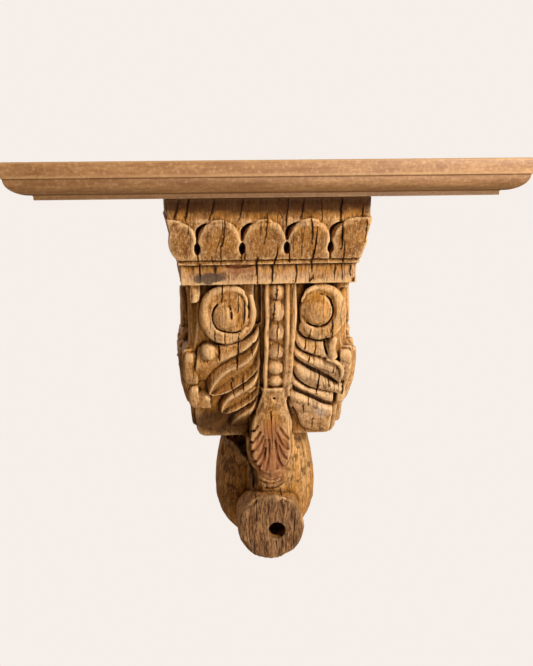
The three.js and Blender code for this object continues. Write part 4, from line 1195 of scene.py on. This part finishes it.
def shelf_wood(settings):
    """A newer hardwood board, planed and oiled: fine straight grain along its length and a low sheen."""
    material, tree, shader = new_material("oiled_hardwood")
    coords = add(tree, "ShaderNodeTexCoord").outputs["Object"]
    along = add(tree, "ShaderNodeMapping", {"Vector": coords, "Scale": (0.12, 1, 1)}).outputs[0]
    figure = add(tree, "ShaderNodeTexNoise", {
        "Vector": along, "Scale": 1 / (5 * MM), "Detail": 6.0, "Roughness": 0.65,
    }).outputs["Fac"]
    # Grain lines every 0.9 mm, about as fine as the picture can show
    lines = add(tree, "ShaderNodeTexNoise", {
        "Vector": along, "Scale": 1 / (0.9 * MM), "Detail": 2.0,
    }).outputs["Fac"]
    mottle = add(tree, "ShaderNodeTexNoise", {
        "Vector": coords, "Scale": 1 / (2.6 * MM), "Detail": 4.0, "Roughness": 0.75,
    }).outputs["Fac"]
    base, top = (corner.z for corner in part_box("shelf_board"))
    height = add(tree, "ShaderNodeSeparateXYZ", {0: coords}).outputs["Z"]
    rise = add(tree, "ShaderNodeMapRange", {"Value": height, "From Min": base, "From Max": top}).outputs[0]
    # Up the moulding: fillet painted lighter as painted light, quirk darkened with dirt and painted shade,
    # ovolo painted lighter low and darker high as painted light, quirk darkened with dirt and painted shade,
    # pale arris worn and painted as highlight, fascia and pale top arris worn and painted as highlight
    painted_light_and_wear_by_height = [
        (0, 0.65), (0.11, 0.65), (0.14, 0.1), (0.18, 0.6), (0.36, 0.5), (0.53, 0.4),
        (0.55, 0.1), (0.58, 0.85), (0.66, 0.5), (0.94, 0.5), (0.98, 0.9),
    ]
    # Painted light and shade up the moulding, along with its wear and dirt
    wear = add(tree, "ShaderNodeValToRGB", {
        "Fac": rise, "stops": [(share, (grey,) * 3) for share, grey in painted_light_and_wear_by_height],
    }).outputs["Color"]
    tone = add(tree, "ShaderNodeValToRGB", {
        "Fac": figure, "stops": [(0.32, settings.dark_wood), (0.66, settings.light_wood)],
    }).outputs["Color"]
    tone = layered(tree, tone, (
        (lines, 0.5, 0.68, 0.5, settings.dark_wood),
        (mottle, 0.5, 0.66, 0.5, settings.dark_wood),
        (mottle, 0.48, 0.34, 0.5, settings.worn_and_lit),
        # Painted shade in the quirks and painted light on the fillet, the lower ovolo and the arrises
        (wear, 0.5, 0.1, 0.75, settings.dirt_and_shade),
        (wear, 0.5, 0.9, 0.6, settings.worn_and_lit),
    ))
    tree.links.new(tone, shader.inputs["Base Color"])
    rough = add(tree, "ShaderNodeMapRange", {
        "Value": figure, "From Min": 0.3, "From Max": 0.7, "To Min": 0.45, "To Max": 0.6,
    })
    tree.links.new(rough.outputs[0], shader.inputs["Roughness"])
    bump = add(tree, "ShaderNodeBump", {"Height": lines, "Strength": 0.25, "Distance": 0.3 * MM})
    tree.links.new(bump.outputs["Normal"], shader.inputs["Normal"])
    shader.inputs["IOR"].default_value = 1.48
    return material


class CORBEL_OT_carve_block(bpy.types.Operator):
    """Carve, weather and crack the corbel block"""

    bl_idname = "corbel.carve_block"
    bl_label = "Carve Corbel"

    def execute(self, context):
        settings = context.scene.corbel_block
        piece = node_copy("corbel", "carved_corbel")
        carve_sides(piece)
        carve_petals(piece)
        carve_panel(piece)
        carve_foot(piece)
        apply_modifier(piece, "REMESH", mode="VOXEL", voxel_size=settings.voxel)
        apply_modifier(piece, "SMOOTH", factor=0.5, iterations=settings.wear)
        weathered(piece, "tool_marks", 9 * MM, (1, 1, 1.6), settings.lump_depth, 2)
        weathered(piece, "furrows", 1.6 * MM, (1, 1, 14), settings.grain_depth, 3)
        combine(piece, slab("wall", -100, 100, [(0, -20), (-10, -20), (-10, 320), (0, 320)]))
        relief_attribute(piece, "hollow", 180, 2.2)
        relief_attribute(piece, "edge", 14, 0.32)
        apply_modifier(piece, "DECIMATE", ratio=min(1, settings.triangles / triangles_of(piece)))
        piece.data.materials.clear()
        piece.data.materials.append(aged_teak(settings))
        split = painted_crack_shade()
        for cutter in crack_blades(settings, surface_of(piece)):
            # Painted shade: the crack walls take the near-black crack material
            cutter.data.materials.append(split)
            combine(piece, cutter, material_mode="TRANSFER")
        only(piece)
        bpy.ops.object.shade_smooth_by_angle(angle=math.radians(60))
        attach(piece, "root")
        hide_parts("corbel")
        print("carved_corbel", triangles_of(piece), "triangles")
        return {"FINISHED"}


class CORBEL_OT_mould_shelf(bpy.types.Operator):
    """Ease and plane the moulded shelf board"""

    bl_idname = "corbel.mould_shelf"
    bl_label = "Mould Shelf Board"

    def execute(self, context):
        settings = context.scene.corbel_shelf
        piece = node_copy("shelf_board", "moulded_shelf")
        bpy.ops.object.mode_set(mode="EDIT")
        bpy.ops.mesh.select_all(action="SELECT")
        bpy.ops.mesh.dissolve_limited(angle_limit=math.radians(1))
        bpy.ops.object.mode_set(mode="OBJECT")
        apply_modifier(piece, "BEVEL", width=settings.easing, segments=3, limit_method="ANGLE",
                       angle_limit=math.radians(25))
        piece.data.materials.append(shelf_wood(settings))
        only(piece)
        bpy.ops.object.shade_smooth_by_angle(angle=math.radians(30))
        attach(piece, "root")
        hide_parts("shelf_board")
        print("moulded_shelf", triangles_of(piece), "triangles")
        return {"FINISHED"}


class CORBEL_OT_light_stage(bpy.types.Operator):
    """Set up the floor, the backdrop, the light and the camera"""

    bl_idname = "corbel.light_stage"
    bl_label = "Light the Stage"

    def execute(self, context):
        settings = context.scene.corbel_stage
        scene = context.scene
        bpy.ops.object.select_all(action="DESELECT")
        bpy.ops.mesh.primitive_plane_add(size=8, location=(0, 0, -settings.floor_drop))
        floor = context.object
        floor.name = "floor"
        material = bpy.data.materials.new("pale_floor")
        material.use_nodes = True
        material.node_tree.nodes.clear()
        glow = add(material.node_tree, "ShaderNodeEmission", {"Color": settings.backdrop})
        add(material.node_tree, "ShaderNodeOutputMaterial", {"Surface": glow.outputs[0]})
        floor.data.materials.append(material)
        floor.visible_diffuse = False
        floor.visible_glossy = False
        floor.visible_shadow = False

        world = bpy.data.worlds.new("studio")
        scene.world = world
        world.use_nodes = True
        tree = world.node_tree
        tree.nodes.clear()
        seen = add(tree, "ShaderNodeLightPath").outputs["Is Camera Ray"]
        shown = add(tree, "ShaderNodeBackground", {"Color": settings.backdrop})
        lights = add(tree, "ShaderNodeBackground", {"Color": settings.glow, "Strength": settings.ambient})
        either = add(tree, "ShaderNodeMixShader", {0: seen, 1: lights.outputs[0], 2: shown.outputs[0]})
        add(tree, "ShaderNodeOutputWorld", {"Surface": either.outputs[0]})

        aim = Vector((0, -0.1, -0.02))
        for name, spot, size, power in (
            ("key_light", (0.9, -1.0, 0.68), 0.4, settings.key_power),
            ("fill_light", (0.5, -1.2, -0.5), 1.2, settings.fill_power),
            ("back_light", (-0.6, 1.2, 0.5), 1, settings.back_power),
        ):
            bpy.ops.object.light_add(type="AREA", location=spot)
            light = context.object
            light.name = name
            light.data.size = size
            light.data.energy = power
            light.rotation_euler = (aim - Vector(spot)).to_track_quat("-Z", "Y").to_euler()

        bpy.ops.object.camera_add()
        camera = context.object
        camera.name = "camera"
        yaw, pitch, roll = (math.radians(a) for a in (4, 10.34, -0.615))
        ahead = Vector((math.sin(yaw) * math.cos(pitch), math.cos(yaw) * math.cos(pitch), -math.sin(pitch)))
        right = Vector((math.cos(yaw), -math.sin(yaw), 0))
        up = right.cross(ahead)
        turned = Matrix((
            right * math.cos(roll) + up * math.sin(roll),
            up * math.cos(roll) - right * math.sin(roll),
            -ahead,
        )).transposed().to_4x4()
        camera.matrix_world = Matrix.Translation((-0.04408, -0.73328, 0.1225)) @ turned
        camera.data.sensor_fit = "VERTICAL"
        camera.data.sensor_height = 36
        camera.data.lens = 45.54
        scene.camera = camera
        scene.view_settings.view_transform = "Standard"
        return {"FINISHED"}


class CORBEL_PT_sidebar(bpy.types.Panel):
    """Sizes, colours and making of the corbel bracket"""

    bl_label = "Corbel Bracket"
    bl_idname = "CORBEL_PT_sidebar"
    bl_space_type = "VIEW_3D"
    bl_region_type = "UI"
    bl_category = "Corbel"

    def draw(self, context):
        for group, operator in (
            (context.scene.corbel_block, CORBEL_OT_carve_block.bl_idname),
            (context.scene.corbel_shelf, CORBEL_OT_mould_shelf.bl_idname),
            (context.scene.corbel_stage, CORBEL_OT_light_stage.bl_idname),
        ):
            box = self.layout.box()
            for name in group.__annotations__:
                box.prop(group, name)
            box.operator(operator)


GROUPS = {"corbel_block": CorbelSettings, "corbel_shelf": ShelfSettings, "corbel_stage": StageSettings}
CLASSES = (
    *GROUPS.values(), CORBEL_OT_carve_block, CORBEL_OT_mould_shelf, CORBEL_OT_light_stage, CORBEL_PT_sidebar,
)


def register():
    for item in CLASSES:
        bpy.utils.register_class(item)
    for name, group in GROUPS.items():
        setattr(bpy.types.Scene, name, PointerProperty(type=group))


def unregister():
    for name in GROUPS:
        delattr(bpy.types.Scene, name)
    for item in reversed(CLASSES):
        bpy.utils.unregister_class(item)


def main():
    register()
    bpy.ops.corbel.carve_block()
    bpy.ops.corbel.mould_shelf()
    bpy.ops.corbel.light_stage()


if __name__ == "__main__":
    main()
